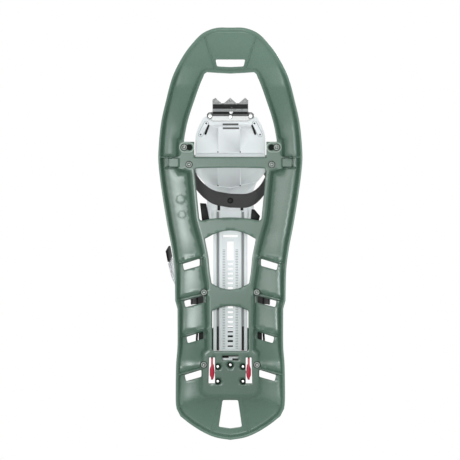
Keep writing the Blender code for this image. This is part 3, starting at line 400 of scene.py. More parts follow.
def skins(p):
    """Height of the lower and the upper skin at each point."""
    in_panel = inside(p, panel)
    rim = np.minimum.reduce([distance(p, r) for r in rims])
    rim[in_panel] = 0
    nose_end = np.clip((NOSE_FLAT - p[:, 1]) / FADE, 0, 1)
    heel_end = np.clip((p[:, 1] - HEEL_FLAT) / FADE, 0, 1)
    rise = CHANNEL_RISE * (1 - NOSE_SHALLOW * nose_end - HEEL_SHALLOW * heel_end)
    floor_rim = rim - LIP - SLOPE
    low = RIM_Z + rise * ease((rim - LIP) / SLOPE)
    low = low + CROWN * (1 - np.exp(-np.clip(floor_rim, 0, None) / CROWN_REACH))
    tilt = TILT * np.clip(distance(p, outer) - TILT_START, 0, TILT_REACH)
    low = low - tilt * (rim > LIP + SLOPE * 0.5) * (1 - nose_end)
    x = np.abs(p[:, 0])
    for start, stop in zip(SHINGLES, SHINGLES[1:]):
        share = (p[:, 1] - (x - SHINGLE_X) * SHINGLE_LEAN - start) / (stop - start)
        step = SHINGLE_STEP * share**2 * (1 - ease((share - 0.93) / 0.07))
        step = np.where((share >= 0) & (share < 1), step, 0)
        low = low - step * ease((floor_rim + SLOPE * 0.4) / 0.002)
    high = RIM_Z + CROSS_DEPTH + (CHANNEL_RISE + SKIN - CROSS_DEPTH) * ease(rim / (LIP + SLOPE))
    for near, far, front_y, back_y in FLATS:
        edge = np.minimum.reduce([x - near + 0.004, far - x, p[:, 1] - front_y, back_y - p[:, 1]])
        flat = RIM_Z + 0.0015 + 0.010 * (1 - ease(edge / 0.0012))
        low = np.minimum(low, np.where(edge > 0, flat, 1))
    for line, half, height in RIBS:
        reach = distance(p, line, False)
        low = low - height * (1 - ease((reach - half * 0.4) / (half * 0.9)))
    for pad_x, pad_y in PADS:
        reach = np.hypot(p[:, 0] - pad_x, p[:, 1] - pad_y)
        pad = RIM_Z + 0.010 * ease((reach - PAD_BORE) / (PAD_R - PAD_BORE))
        low = np.minimum(low, np.where(reach < PAD_R, pad, 1))
    low = np.maximum(low, RIM_Z)
    for mark_x, mark_y, radius, depth in ROUNDS:
        reach = np.hypot(p[:, 0] - mark_x, p[:, 1] - mark_y)
        low = low + depth * (1 - ease((reach - radius) / 0.0006))
    edge = np.minimum.reduce([distance(p, loop) for loop in [outer, *holes]])
    fillet = EDGE_R - np.sqrt(np.clip(EDGE_R**2 - np.clip(EDGE_R - edge, 0, EDGE_R) ** 2, 0, None))
    return low + fillet + lift(p[:, 1]), high - fillet + lift(p[:, 1])


def inset_rows(loop, insets, gap):
    """Points beside a loop, on both sides, in rows at the given distances."""
    rows = []
    fine = np.array(dense(loop, gap))
    ahead, behind = np.roll(fine, -1, axis=0), np.roll(fine, 1, axis=0)
    along = ahead - behind
    along /= np.linalg.norm(along, axis=1)[:, None] + 1e-12
    across = np.stack([along[:, 1], -along[:, 0]], axis=1)
    for inset in insets:
        for side in (1, -1):
            row = fine + side * inset * across
            rows.append(row[distance(row, loop) > inset * 0.93])
    return np.concatenate(rows)


def placed(name, mesh):
    obj = bpy.data.objects.new(name, mesh)
    bpy.context.scene.collection.objects.link(obj)
    return obj


def shaded(mesh, degrees=38):
    """Smooth shading, sharp at the edges over the angle."""
    mesh.shade_smooth()
    mesh.set_sharp_from_angle(angle=math.radians(degrees))


def deck_shell():
    """Rows of points along each edge, rib and mark and a grid between them, triangulated into two skins."""
    loops = [outer, *holes]
    points, edges = [], []
    for loop in loops:
        start = len(points)
        points += loop
        edges += [(start + i, start + (i + 1) % len(loop)) for i in range(len(loop))]
    spots = [inset_rows(loop, (0.0003, 0.0009), 0.0035) for loop in loops]
    foot = LIP + SLOPE
    insets = (LIP - 0.0005, LIP + 0.0006, LIP + SLOPE * 0.35, LIP + SLOPE * 0.7, foot - 0.0004, foot + 0.0010)
    spots += [inset_rows(loop, insets, 0.0035) for loop in rims]
    for line, half, _ in RIBS:
        a, b = Vector(line[0]), Vector(line[1])
        along = (b - a).normalized()
        across = Vector((along.y, -along.x))
        count = max(2, math.ceil((b - a).length / 0.0022))
        for offset in (-1.5, -1.0, -0.4, 0.4, 1.0, 1.5):
            steps = [a + (b - a) * i / count + across * half * offset for i in range(-1, count + 2)]
            spots.append(np.array([tuple(s) for s in steps]))
    turn = np.linspace(0, 2 * math.pi, 24, endpoint=False)
    circle = np.stack([np.cos(turn), np.sin(turn)], axis=1)
    for x, y, radius, _ in ROUNDS:
        spots += [circle * (radius + extra) + (x, y) for extra in (0, 0.0003, 0.0006)]
    for x, y in PADS:
        spots += [circle * radius + (x, y) for radius in (PAD_BORE, (PAD_BORE + PAD_R) / 2, PAD_R)]
    for near, far, front_y, back_y in FLATS:
        for side in (1, -1):
            a, b = side * near, side * far
            box = [(a, front_y), (b, front_y), (b, back_y), (a, back_y)]
            spots.append(inset_rows(box, (0.0, 0.0006, 0.0012), 0.002))
    gap = 0.0042
    xs = np.arange(-HALF_WIDTH, HALF_WIDTH, gap)
    ys = np.arange(NOSE_Y, TAIL_Y, gap)
    grid = np.array([(x + (gap / 2) * (j % 2), y) for j, y in enumerate(ys) for x in xs])
    feature = np.concatenate(spots)
    grid = grid[np.minimum.reduce([distance(grid, r) for r in rims]) > foot + 0.003]
    spots = np.concatenate([feature, grid])
    spots = spots[inside(spots, outer)]
    for hole in holes:
        spots = spots[~inside(spots, hole)]
    spots = spots[np.minimum.reduce([distance(spots, loop) for loop in loops]) > 0.00028]
    points += [tuple(s) for s in spots]
    made, _, faces, _, _, _ = delaunay_2d_cdt([Vector(p) for p in points], edges, [], 0, 1e-5)
    plan = np.array([tuple(p) for p in made])
    faces = np.array([tuple(f) for f in faces])
    middle = plan[faces].mean(axis=1)
    keep = inside(middle, outer)
    for hole in holes:
        keep &= ~inside(middle, hole)
    faces = faces[keep]
    low, high = skins(plan)
    count = len(plan)
    verts = np.concatenate([np.column_stack([plan, low]), np.column_stack([plan, high])])
    ends = np.concatenate([faces[:, [0, 1]], faces[:, [1, 2]], faces[:, [2, 0]]])
    known = set(map(tuple, ends.tolist()))
    walls = [(a, b, b + count, a + count) for a, b in known if (b, a) not in known]
    upper = [tuple(f) for f in (faces + count).tolist()]
    lower = [tuple(reversed(f)) for f in faces.tolist()]
    mesh = bpy.data.meshes.new("deck_shell")
    mesh.from_pydata(verts.tolist(), [], upper + lower + walls)
    bm = bmesh.new()
    bm.from_mesh(mesh)
    bmesh.ops.delete(bm, geom=[v for v in bm.verts if not v.link_faces], context="VERTS")
    bmesh.ops.recalc_face_normals(bm, faces=bm.faces)
    bm.to_mesh(mesh)
    bm.free()
    shaded(mesh, 48)
    return placed("deck_shell", mesh)


def moulded(name, colour, roughness, grain_mm, variation=0.04, bump=0.10, scuff=0.0, specular=0.5):
    """Injection-moulded plastic: a spark-eroded grain, slightly uneven gloss and a faint cloudiness of the
    pigment. The grain's size is in millimetres and is drawn as coarse as it needs to show."""
    made = bpy.data.materials.new(name)
    made.use_nodes = True
    tree = made.node_tree
    shader = tree.nodes["Principled BSDF"]
    place = add(tree, "ShaderNodeTexCoord").outputs["Object"]
    grain = add(tree, "ShaderNodeTexNoise", {"Vector": place, "Scale": 1000 / grain_mm, "Detail": 3.0})
    cloud = add(tree, "ShaderNodeTexNoise", {"Vector": place, "Scale": 22.0, "Detail": 4.0})
    base = srgb(colour)
    dark = tuple(c * (1 - variation) for c in base[:3]) + (1,)
    light = tuple(min(1, c * (1 + variation)) for c in base[:3]) + (1,)
    ramp = add(tree, "ShaderNodeMix", {0: cloud.outputs["Fac"], 6: dark, 7: light}, data_type="RGBA")
    colour_out = ramp.outputs[2]
    if scuff:
        rough = {"Vector": place, "Scale": 160.0, "Detail": 6.0, "Roughness": 0.75}
        scratch = add(tree, "ShaderNodeTexNoise", rough)
        few = add(tree, "ShaderNodeMapRange", {0: scratch.outputs["Fac"], 1: 0.64, 2: 0.78, 3: 0.0, 4: scuff})
        pale = tuple(min(1, c * 1.5 + 0.03) for c in base[:3]) + (1,)
        worn = add(tree, "ShaderNodeMix", {0: few.outputs[0], 6: colour_out, 7: pale}, data_type="RGBA")
        colour_out = worn.outputs[2]
    tree.links.new(colour_out, shader.inputs["Base Color"])
    sheen = {0: grain.outputs["Fac"], 3: roughness - 0.05, 4: roughness + 0.06}
    tree.links.new(add(tree, "ShaderNodeMapRange", sheen).outputs[0], shader.inputs["Roughness"])
    height = {"Height": grain.outputs["Fac"], "Strength": bump, "Distance": 0.0002}
    relief = add(tree, "ShaderNodeBump", height)
    tree.links.new(relief.outputs[0], shader.inputs["Normal"])
    shader.inputs["IOR"].default_value = 1.49
    shader.inputs["Specular IOR Level"].default_value = specular
    return made


# Satin sage green with a soft grain, which gives broad highlights along the rails, and a few pale scuffs.
sage = moulded("sage glass-filled polypropylene", "#5f796b", 0.27, 0.8, 0.05, 0.12, 0.10)


def show(obj, finish, body, *nodes, slot=None):
    """The piece takes its finish, rides on its body and stands for its CAD nodes."""
    obj.data.materials.clear()
    obj.data.materials.append(finish)
    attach(obj, body)
    if nodes:
        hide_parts(*nodes)
    return obj


show(deck_shell(), sage, "deck", "deck", slot="deck_plastic")


# Stud points: eight hardened points of zinc-plated steel pressed into pads of the moulding, each ringed by
# painted shade where it sits in its socket. On the two front bosses an oval lip of the moulding, in a paler
# sage painted as its highlight, rings the point and the hole beside it, whose depth is a dark disc of painted
# shade.
SOCKET_R, SOCKET_BORE = 0.0050, 0.0043
BEZEL_R, BEZEL_BORE = 0.0072, 0.0060
HOLE_SHADE_R = 0.0048
PROUD = 0.0006


def baked(obj):
    """The object with the result of its modifiers as its own mesh."""
    mesh = bpy.data.meshes.new_from_object(obj.evaluated_get(bpy.context.evaluated_depsgraph_get()))
    obj.modifiers.clear()
    obj.data = mesh
    return obj


def finished(node, finish, body, bevel=0.0004, slot=None):
    """The node's own CAD shape with its edges rounded, standing for the node."""
    source = frame["nodes"][node]
    mesh = source.data.copy()
    mesh.transform(source.matrix_world)
    bm = bmesh.new()
    bm.from_mesh(mesh)
    bmesh.ops.remove_doubles(bm, verts=bm.verts, dist=2e-5)
    bmesh.ops.dissolve_limit(bm, angle_limit=math.radians(1.5), verts=bm.verts, edges=bm.edges)
    bm.to_mesh(mesh)
    bm.free()
    obj = placed(f"{node}_finished", mesh)
    round_off = obj.modifiers.new("edges", "BEVEL")
    round_off.width = bevel
    round_off.segments = 2
    round_off.limit_method = "ANGLE"
    round_off.angle_limit = math.radians(32)
    round_off.use_clamp_overlap = True
    shaded(baked(obj).data)
    return show(obj, finish, body, node, slot=slot)


def solid(name, verts, faces):
    """A closed shape from its points and faces, with its faces turned outwards."""
    mesh = bpy.data.meshes.new(name)
    mesh.from_pydata([tuple(v) for v in verts], [], faces)
    bm = bmesh.new()
    bm.from_mesh(mesh)
    bmesh.ops.recalc_face_normals(bm, faces=bm.faces)
    bm.to_mesh(mesh)
    bm.free()
    return placed(name, mesh)


def circle(x, y, radius, sides=28):
    turns = [2 * math.pi * i / sides for i in range(sides)]
    return [(x + radius * math.cos(a), y + radius * math.sin(a)) for a in turns]


def disc(name, x, y, profile, sides=32):
    """A profile of (radius, height) points turned about a vertical line, from lower to upper centre."""
    verts, faces = [(x, y, profile[0][1])], []
    for radius, z in profile[1:-1]:
        verts += [(*p, z) for p in circle(x, y, radius, sides)]
    verts.append((x, y, profile[-1][1]))
    rings = len(profile) - 2
    for i in range(sides):
        j = (i + 1) % sides
        faces.append((0, 1 + j, 1 + i))
        for ring_index in range(rings - 1):
            a, b = 1 + ring_index * sides, 1 + (ring_index + 1) * sides
            faces.append((a + i, a + j, b + j, b + i))
        last = 1 + (rings - 1) * sides
        faces.append((last + i, last + j, len(verts) - 1))
    return solid(name, verts, faces)


def stadium(x0, y0, x1, y1, radius, turn=8):
    """Outline of a slot with round ends about two points."""
    heading = math.atan2(y1 - y0, x1 - x0)
    ends = [(x1, y1, heading - math.pi / 2), (x0, y0, heading + math.pi / 2)]
    return [
        (x + radius * math.cos(a + math.pi * i / turn), y + radius * math.sin(a + math.pi * i / turn))
        for x, y, a in ends
        for i in range(turn + 1)
    ]


def ring(name, outer_line, inner_line, low, high):
    """A raised border between two outlines of as many points."""
    count = len(outer_line)
    levels = ((outer_line, low), (outer_line, high), (inner_line, high), (inner_line, low))
    verts = [(*p, z) for line, z in levels for p in line]
    faces = []
    for i in range(count):
        j = (i + 1) % count
        for a, b in ((0, 1), (1, 2), (2, 3), (3, 0)):
            faces.append((a * count + i, a * count + j, b * count + j, b * count + i))
    return solid(name, verts, faces)


def joined(name, pieces):
    """The pieces' meshes as one object."""
    bm = bmesh.new()
    for piece in pieces:
        bm.from_mesh(piece.data)
    mesh = bpy.data.meshes.new(name)
    bm.to_mesh(mesh)
    bm.free()
    for piece in pieces:
        bpy.data.objects.remove(piece)
    shaded(mesh)
    return placed(name, mesh)


def metal(name, colour, roughness, speck_mm, contrast, bump=0.15, metallic=1.0):
    """Bare or plated steel with a speckle from blasting or tumbling, drawn coarse enough to show.
    A lower metallic share stands for a blasted face, which scatters light as much as it mirrors it."""
    made = bpy.data.materials.new(name)
    made.use_nodes = True
    tree = made.node_tree
    shader = tree.nodes["Principled BSDF"]
    place = add(tree, "ShaderNodeTexCoord").outputs["Object"]
    speck = add(tree, "ShaderNodeTexNoise", {"Vector": place, "Scale": 1000 / speck_mm, "Detail": 4.0})
    smear = add(tree, "ShaderNodeTexNoise", {"Vector": place, "Scale": 90.0, "Detail": 3.0})
    base = srgb(colour)
    sharp = add(tree, "ShaderNodeMapRange", {0: speck.outputs["Fac"], 1: 0.32, 2: 0.68})
    dark = tuple(c * (1 - contrast) for c in base[:3]) + (1,)
    light = tuple(min(1, c * (1 + contrast)) for c in base[:3]) + (1,)
    tone = add(tree, "ShaderNodeMix", {0: sharp.outputs[0], 6: dark, 7: light}, data_type="RGBA")
    tree.links.new(tone.outputs[2], shader.inputs["Base Color"])
    sheen = {0: smear.outputs["Fac"], 3: roughness - 0.10, 4: roughness + 0.10}
    tree.links.new(add(tree, "ShaderNodeMapRange", sheen).outputs[0], shader.inputs["Roughness"])
    height = {"Height": speck.outputs["Fac"], "Strength": bump, "Distance": 0.0002}
    relief = add(tree, "ShaderNodeBump", height)
    tree.links.new(relief.outputs[0], shader.inputs["Normal"])
    shader.inputs["Metallic"].default_value = metallic
    return made


# Bright, slightly uneven plating; a paler sage painted as the highlight on raised lips; a dark finish painted
# as the shade of a deep recess, also used for small dark marks.
zinc = metal("zinc-plated steel", "#c9ccc9", 0.32, 0.7, 0.10)
sage_lip_highlight = moulded("sage painted with highlight on raised lips", "#a3b5a9", 0.30, 0.8, 0.05, 0.10)
recess = moulded("painted shade in deep recesses, and dark marks", "#18201b", 0.55, 0.9, 0.10, 0.10, 0.0, 0.08)
for node in STUDS:
    finished(node, zinc, "deck", 0.0004, slot="steel")
# A dark ring of painted shade round each stud, where it sits in its socket.
socket_shades = []
for x, y in PADS:
    lip, bore = circle(x, y, SOCKET_R), circle(x, y, SOCKET_BORE)
    socket_shades.append(ring("socket", lip, bore, RIM_Z - 0.0009, RIM_Z + PROUD))
show(joined("stud_sockets", socket_shades), recess, "deck")
# Round each front boss's point and hole, a raised lip in paler sage, painted as its highlight.
bezels, hole_shades = [], []
for side in (1, -1):
    x_stud, x_hole, y = side * (BOSS_X + 0.0145), side * (BOSS_X + 0.0070), BOSS_FRONT + 0.0080
    lip, bore = (stadium(x_hole, y, x_stud, y, radius) for radius in (BEZEL_R, BEZEL_BORE))
    bezels.append(ring("bezel", lip, bore, RIM_Z - 0.0011, RIM_Z + PROUD))
    # A dark disc in each hole, painted as the shade down the hole.
    top = RIM_Z + 0.0004
    plug = [(0, RIM_Z - 0.0002), (HOLE_SHADE_R - PROUD, RIM_Z - 0.0004), (HOLE_SHADE_R, top), (0, top)]
    hole_shades.append(disc("plug", x_hole, y, plug))
show(joined("boss_bezels", bezels), sage_lip_highlight, "deck")
show(joined("boss_plugs", hole_shades), recess, "deck")

# Heel rest: a light nylon block under the heel, held by five pan-head screws with a cross recess that sit in
# sinks of the deck, each drawn as a dark ring of painted shade. The binding's axle and the climbing aid's pin
# are plain plated rods.
HEAD_R, RECESS_LONG, RECESS_WIDE = 0.0027, 0.0032, 0.0008
SINK_R, SINK_BORE = 0.0040, 0.0024


def slab(name, outline, low, high):
    """A plan outline between two heights."""
    count = len(outline)
    verts = [(x, y, low) for x, y in outline] + [(x, y, high) for x, y in outline]
    sides = [(i, (i + 1) % count, (i + 1) % count + count, i + count) for i in range(count)]
    return solid(name, verts, [tuple(range(count - 1, -1, -1)), tuple(range(count, 2 * count)), *sides])


def rectangle(left, right, front_y, back_y):
    return [(left, front_y), (right, front_y), (right, back_y), (left, back_y)]


def drilled(obj, cutters):
    """The cutters' shapes cut from the object, and the cutters removed."""
    for cutter in cutters:
        cut = obj.modifiers.new("cut", "BOOLEAN")
        cut.operation = "DIFFERENCE"
        cut.solver = "EXACT"
        cut.object = cutter
    baked(obj)
    for cutter in cutters:
        bpy.data.objects.remove(cutter)
    return obj


# Each sink is a dark ring of painted shade round its screw's head.
sinks = []
for number, (low, high) in enumerate(SCREWS, 1):
    x, y, z = (low.x + high.x) / 2, (low.y + high.y) / 2, low.z
    profile = [(0, z), (0.0016, z), (0.0023, z + 0.0004), (HEAD_R, z + 0.0012), (HEAD_R, high.z), (0, high.z)]
    arms = []
    for w, d in ((RECESS_LONG, RECESS_WIDE), (RECESS_WIDE, RECESS_LONG)):
        arms.append(slab("arm", rectangle(x - w / 2, x + w / 2, y - d / 2, y + d / 2), z - 0.001, z + 0.0011))
    head = drilled(disc("head", x, y, profile), arms)
    show(joined(f"rest_screw_{number}_head", [head]), zinc, "deck", f"rest_screw_{number}", slot="steel")
    sinks.append(ring("sink", circle(x, y, SINK_R), circle(x, y, SINK_BORE), z - 0.0003, z + 0.0012))
show(joined("screw_sinks", sinks), recess, "deck")
finished("pivot_axle", zinc, "deck", 0.0005, slot="steel")
finished("aid_pin", zinc, "deck", 0.0003, slot="steel")
# Light grey nylon, close to white, with a fine even grain.
ivory = moulded("light grey glass-filled nylon", "#f3f4f6", 0.42, 0.9, 0.03, 0.08)
finished("heel_rest", ivory, "deck", 0.0006, slot="light_plastic")
REST_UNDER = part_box("heel_rest")[0].z
WINDOW_MARKS = [(-0.0112, -0.0024, -0.0228, -0.0203), (0.0029, 0.0112, -0.0195, -0.0173)]
marks = []
for left, right, front_y, back_y in WINDOW_MARKS:
    line = rectangle(left, right, AID.y + front_y, AID.y + back_y)
    marks.append(slab("mark", line, REST_UNDER - 0.0004, REST_UNDER + 0.0003))
show(joined("window_marks", marks), recess, "deck")

# Toe plate: a moulded light nylon plate with two lengthwise folds, creases at its ends, a barred window and a
# pair of looped slits at its front corners. Black slabs in its slots and pockets are painted shade.
FOLDS_X, FOLD_HALF, FOLD_DEPTH = (-0.0178, 0.0142), 0.0006, 0.0009
FOLD_FRONT, FOLD_BACK = (-0.1500, -0.1165), (-0.1035, -0.0685)
CREASES = [((0.0395, -0.0745), (0.0016, -0.0655)), ((0.0016, -0.0655), (-0.0330, -0.0690))]
CREASES.append(((-0.0350, -0.1530), (0.0350, -0.1530)))
CREASE_HALF, CREASE_DEPTH = 0.0004, 0.0007
SLIT_X, SLIT_Y, SLIT_HALF, SLIT_TURN = 0.0335, PIVOT.y - 0.0385, 0.0062, 0.34
LOOP_ENDS = ((0.0345, PIVOT.y - 0.0475), (0.0425, PIVOT.y - 0.0315))
LOOP_R, LOOP_BORE, LOOP_BORDER = 0.0030, 0.0019, 0.0035


def strip(start, end, half):
    """Outline of a straight strip between two points."""
    across = Vector((start[1] - end[1], end[0] - start[0])).normalized() * half
    return [tuple(Vector(p) + side * across) for p, side in ((start, 1), (end, 1), (end, -1), (start, -1))]


def button(name, x, y, radius, low, high):
    """A small flat round between two heights."""
    return disc(name, x, y, [(0, low), (radius, low), (radius, high), (0, high)], 16)


plate = finished("toe_plate", ivory, "binding", 0.0005, slot="light_plastic")
cuts = []
for x in FOLDS_X:
    for span in (FOLD_FRONT, FOLD_BACK):
        line = rectangle(x - FOLD_HALF, x + FOLD_HALF, *span)
        cuts.append(slab("groove", line, SOLE_UNDER - 0.001, SOLE_UNDER + FOLD_DEPTH))
for start, end in CREASES:
    cuts.append(slab("groove", strip(start, end, CREASE_HALF), SOLE_UNDER - 0.001, SOLE_UNDER + CREASE_DEPTH))
shaded(drilled(plate, cuts).data)

# Black nylon with a low gloss, so that it stays dark in a white room.
black = moulded("black nylon", "#151616", 0.42, 0.7, 0.15, 0.15, 0.05, 0.12)
# Black slabs in the slots and pockets, painted as the shade inside them, with black dots at the folds' ends
# and a black lens-shaped slab.
slot_shades = []
for side in (1, -1):
    line = rectangle(side * 0.0165 - 0.0019, side * 0.0165 + 0.0019, -0.0418, -0.0247)
    slot_shades.append(slab("insert", line, SOLE_UNDER + 0.0006, SOLE_UNDER + 0.0018))
    reach = Vector((side * math.sin(SLIT_TURN), math.cos(SLIT_TURN))) * SLIT_HALF
    middle = Vector((side * SLIT_X, SLIT_Y))
    line = stadium(*(middle - reach), *(middle + reach), 0.0015)
    slot_shades.append(slab("insert", line, SOLE_UNDER + 0.0004, SOLE_UNDER + 0.0018))
for x in FOLDS_X:
    for y in (FOLD_FRONT[1], FOLD_BACK[1]):
        slot_shades.append(button("dot", x, y, 0.0009, SOLE_UNDER - 0.0002, SOLE_UNDER + 0.0006))
lens = [(-0.0100, -0.0232), (-0.0080, -0.0258), (-0.0040, -0.0266)]
lens += [(0.0050, -0.0266), (0.0088, -0.0258), (0.0108, -0.0232)]
slot_shades.append(slab("lens", lens, SOLE_UNDER - 0.0005, SOLE_UNDER + 0.0002))
show(joined("plate_inserts", slot_shades), black, "binding")

# Dark steel: bars across the plate's window, and on the claw the strips, keyhole and collars painted as
# shade.
dark_steel = metal("dark steel, painted shade on the claw", "#3c3c3c", 0.40, 0.6, 0.25)
bars = []
for y, sunk in ((PIVOT.y - 0.0460, 0.0004), (PIVOT.y - 0.0405, -0.0004)):
    line = rectangle(-0.0108, 0.0125, y - 0.0012, y + 0.0012)
    bars.append(slab("bar", line, SOLE_UNDER + sunk, SOLE_UNDER + 0.0012))
show(joined("plate_window_bars", bars), dark_steel, "binding")

# Grey nylon painted as lying in shade, for the thin lines round the loops and on the rail.
shade_grey = moulded("grey nylon in shade", "#8d8f90", 0.55, 0.9, 0.06, 0.10)
loops, borders, marks = [], [], []
for side in (1, -1):
    (xa, ya), (xb, yb) = [(side * x, y) for x, y in LOOP_ENDS]
    border, lip, bore = (stadium(xa, ya, xb, yb, radius) for radius in (LOOP_BORDER, LOOP_R, LOOP_BORE))
    loops.append(ring("loop", lip, bore, SOLE_UNDER - 0.0011, SOLE_UNDER + 0.0003))
    borders.append(ring("border", border, lip, SOLE_UNDER - 0.0003, SOLE_UNDER + 0.0003))
    for x, y in ((xa, ya), (xb, yb)):
        marks.append(button("mark", x, y, 0.0012, SOLE_UNDER - 0.0003, SOLE_UNDER + 0.0004))
show(joined("plate_loops", loops), ivory, "binding")
show(joined("plate_loop_borders", borders), shade_grey, "binding")
show(joined("plate_loop_marks", marks), recess, "binding")

# Front claw: a toothed blade of blasted stainless steel, folded with pressed bands across it, riveted under
# the plate's front edge, with a bolt through its middle. The steel is matt and speckled on the blade; the
# raised bands, the bolt's washer and the rivets' pins are a lighter, smoother steel painted as their
# highlight.
claw_steel = metal("blasted stainless steel", "#a2a2a2", 0.42, 1.3, 0.45, 0.35, 0.5)
steel_highlight = metal("steel painted with highlight", "#b4b4b4", 0.30, 0.6, 0.10, 0.15, 0.4)
claw = finished("front_claw", claw_steel, "binding", 0.0003, slot="steel")
CLAW_HALF, CLAW_PROBE_X = 0.0250, 0.012
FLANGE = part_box("front_claw")[1].z - 0.0022
RIVET_X, RIVET_Y = 0.0291, -0.1689
BOLT_X, BOLT_Y = 0.0011, -0.1736
KEY_X, KEY_Y = 0.0018, -0.1800
claw_points = [v.co for v in claw.data.vertices]
claw_faces = BVHTree.FromPolygons(claw_points, [f.vertices for f in claw.data.polygons])


def claw_under(x, y):
    """Height of the claw's lowest face over a point of the plan."""
    place = claw_faces.ray_cast(Vector((x, y, -0.05)), Vector((0, 0, 1)))[0]
    return place.z if place else FLANGE


def band(front_y, back_y, reach, proud):
    """A band across the claw, following its lower face: a pressed rib, or a strip of painted shade beside
    one.
    """
    steps = 7
    verts = []
    for y in np.linspace(front_y, back_y, steps):
        z = claw_under(CLAW_PROBE_X, y)
        low, high = z - proud, z + PROUD
        verts += [(-reach, y, low), (reach, y, low), (reach, y, high), (-reach, y, high)]
    last = 4 * (steps - 1)
    faces = [(0, 1, 2, 3), (last, last + 1, last + 2, last + 3)]
    for k in range(0, last, 4):
        faces += [(k + i, k + (i + 1) % 4, k + 4 + (i + 1) % 4, k + 4 + i) for i in range(4)]
    return solid("band", verts, faces)


ribs = [band(-0.1780, -0.1742, CLAW_HALF, 0.0009), band(-0.1676, -0.1614, CLAW_HALF + 0.0010, 0.0009)]
# Dark strips beside the bands, painted as shade.
shades = [band(-0.1856, -0.1784, CLAW_HALF, 0.0003), band(-0.1739, -0.1679, CLAW_HALF, 0.0005)]
# The bolt's washer is in the lighter steel painted with highlight.
face = claw_under(BOLT_X, BOLT_Y)
washer = [(0, face - 0.0018), (0.0024, face - 0.0016), (0.0030, face - 0.0008), (0.0030, face + 0.0004)]
ribs.append(disc("washer", BOLT_X, BOLT_Y, washer + [(0, face + 0.0004)]))
# A dark disc painted as the shade in the keyhole.
face = claw_under(BOLT_X, KEY_Y)
keyhole = [(0, face - 0.0009), (0.0014, face - 0.0009), (0.0016, face + PROUD), (0, face + PROUD)]
shades.append(disc("keyhole", KEY_X, KEY_Y, keyhole))
low, middle, high = FLANGE - 0.0012, FLANGE - 0.0006, FLANGE - 0.0002
# Each rivet: a pin painted with highlight, in a dark collar painted as shade.
for side in (1, -1):
    pin = [(0, low), (0.0026, low), (0.0029, middle), (0, middle)]
    collar = [(0, middle), (0.0042, middle), (0.0044, high), (0, high)]
    ribs.append(disc("washer", side * RIVET_X, RIVET_Y, pin))
    shades.append(disc("washer", side * RIVET_X, RIVET_Y, collar))
show(joined("claw_ribs", ribs), steel_highlight, "binding")
show(joined("claw_shades", shades), dark_steel, "binding")
for node in ("claw_bolt", "claw_rivet_left", "claw_rivet_right", "toe_ladder_rivet", "toe_buckle_pin"):
    finished(node, zinc, "binding", 0.0003, slot="steel")

# Adjuster rail: a moulded nylon channel that carries the heel piece. Thin grey ticks painted as shade run
# along both sides of its rungs, and its side grooves are painted in shade as far as the black heel strips.
finished("adjuster_rail", ivory, "binding", 0.0003, slot="light_plastic")
RAIL_UNDER = RAIL_LOW.z
TICK_LONG, TICK_WIDE, TICK_COUNT, TICK_PITCH = 0.0038, 0.0007, 62, 0.0023
TICK_X, TICK_START = 0.0092, 0.0235
GROOVE_X = (0.0166, 0.0197)
GROOVE_HEIGHTS = (RAIL_HIGH.z - 0.0032, RAIL_HIGH.z - 0.0024)


def row(name, shape, count, pitch, finish, body, starts):
    """Copies of a small shape in rows along Y as one mesh, each row starting at one of the given places.
    A line of as many points as the row has is set on every start, and the shape on every point."""
    tree = bpy.data.node_groups.new(name, "GeometryNodeTree")
    tree.interface.new_socket("Geometry", in_out="INPUT", socket_type="NodeSocketGeometry")
    pitch_socket = tree.interface.new_socket("Pitch", in_out="INPUT", socket_type="NodeSocketFloat")
    count_socket = tree.interface.new_socket("Count", in_out="INPUT", socket_type="NodeSocketInt")
    tree.interface.new_socket("Geometry", in_out="OUTPUT", socket_type="NodeSocketGeometry")
    source = add(tree, "NodeGroupInput")
    step = add(tree, "ShaderNodeCombineXYZ", {1: source.outputs["Pitch"]})
    spacing = {"Count": source.outputs["Count"], "Offset": step.outputs[0]}
    line = add(tree, "GeometryNodeMeshLine", spacing, mode="OFFSET")
    on_starts = {"Points": source.outputs["Geometry"], "Instance": line.outputs[0]}
    lines = add(tree, "GeometryNodeInstanceOnPoints", on_starts)
    places = add(tree, "GeometryNodeRealizeInstances", {0: lines.outputs[0]})
    item = add(tree, "GeometryNodeObjectInfo", {"Object": shape})
    on_places = {"Points": places.outputs[0], "Instance": item.outputs["Geometry"]}
    copies = add(tree, "GeometryNodeInstanceOnPoints", on_places)
    real = add(tree, "GeometryNodeRealizeInstances", {0: copies.outputs[0]})
    painted = add(tree, "GeometryNodeSetMaterial", {"Geometry": real.outputs[0], "Material": finish})
    add(tree, "NodeGroupOutput", {0: painted.outputs[0]})
    mesh = bpy.data.meshes.new(name)
    mesh.from_pydata(starts, [], [])
    obj = placed(name, mesh)
    made = obj.modifiers.new("row", "NODES")
    made.node_group = tree
    made[pitch_socket.identifier] = pitch
    made[count_socket.identifier] = count
    baked(obj)
    bpy.data.objects.remove(shape)
    return show(obj, finish, body)


tick = rectangle(-TICK_LONG / 2, TICK_LONG / 2, -TICK_WIDE / 2, TICK_WIDE / 2)
tick = slab("tick", tick, RAIL_UNDER - 0.0003, RAIL_UNDER + 0.0003)
starts = [(side * TICK_X, TICK_START, 0) for side in (-1, 1)]
row("rail_ticks", tick, TICK_COUNT, TICK_PITCH, shade_grey, "binding", starts)
for name, finish, front_y, back_y in (
    ("rail_groove_strips", shade_grey, RAIL_LOW.y + 0.002, 0.1320),
    ("rail_heel_strips", black, 0.1325, RAIL_HIGH.y - 0.0008),
):
    strips = []
    for side in (1, -1):
        left, right = sorted(side * x for x in GROOVE_X)
        strips.append(slab("strip", rectangle(left, right, front_y, back_y), *GROOVE_HEIGHTS))
    show(joined(name, strips), finish, "binding")

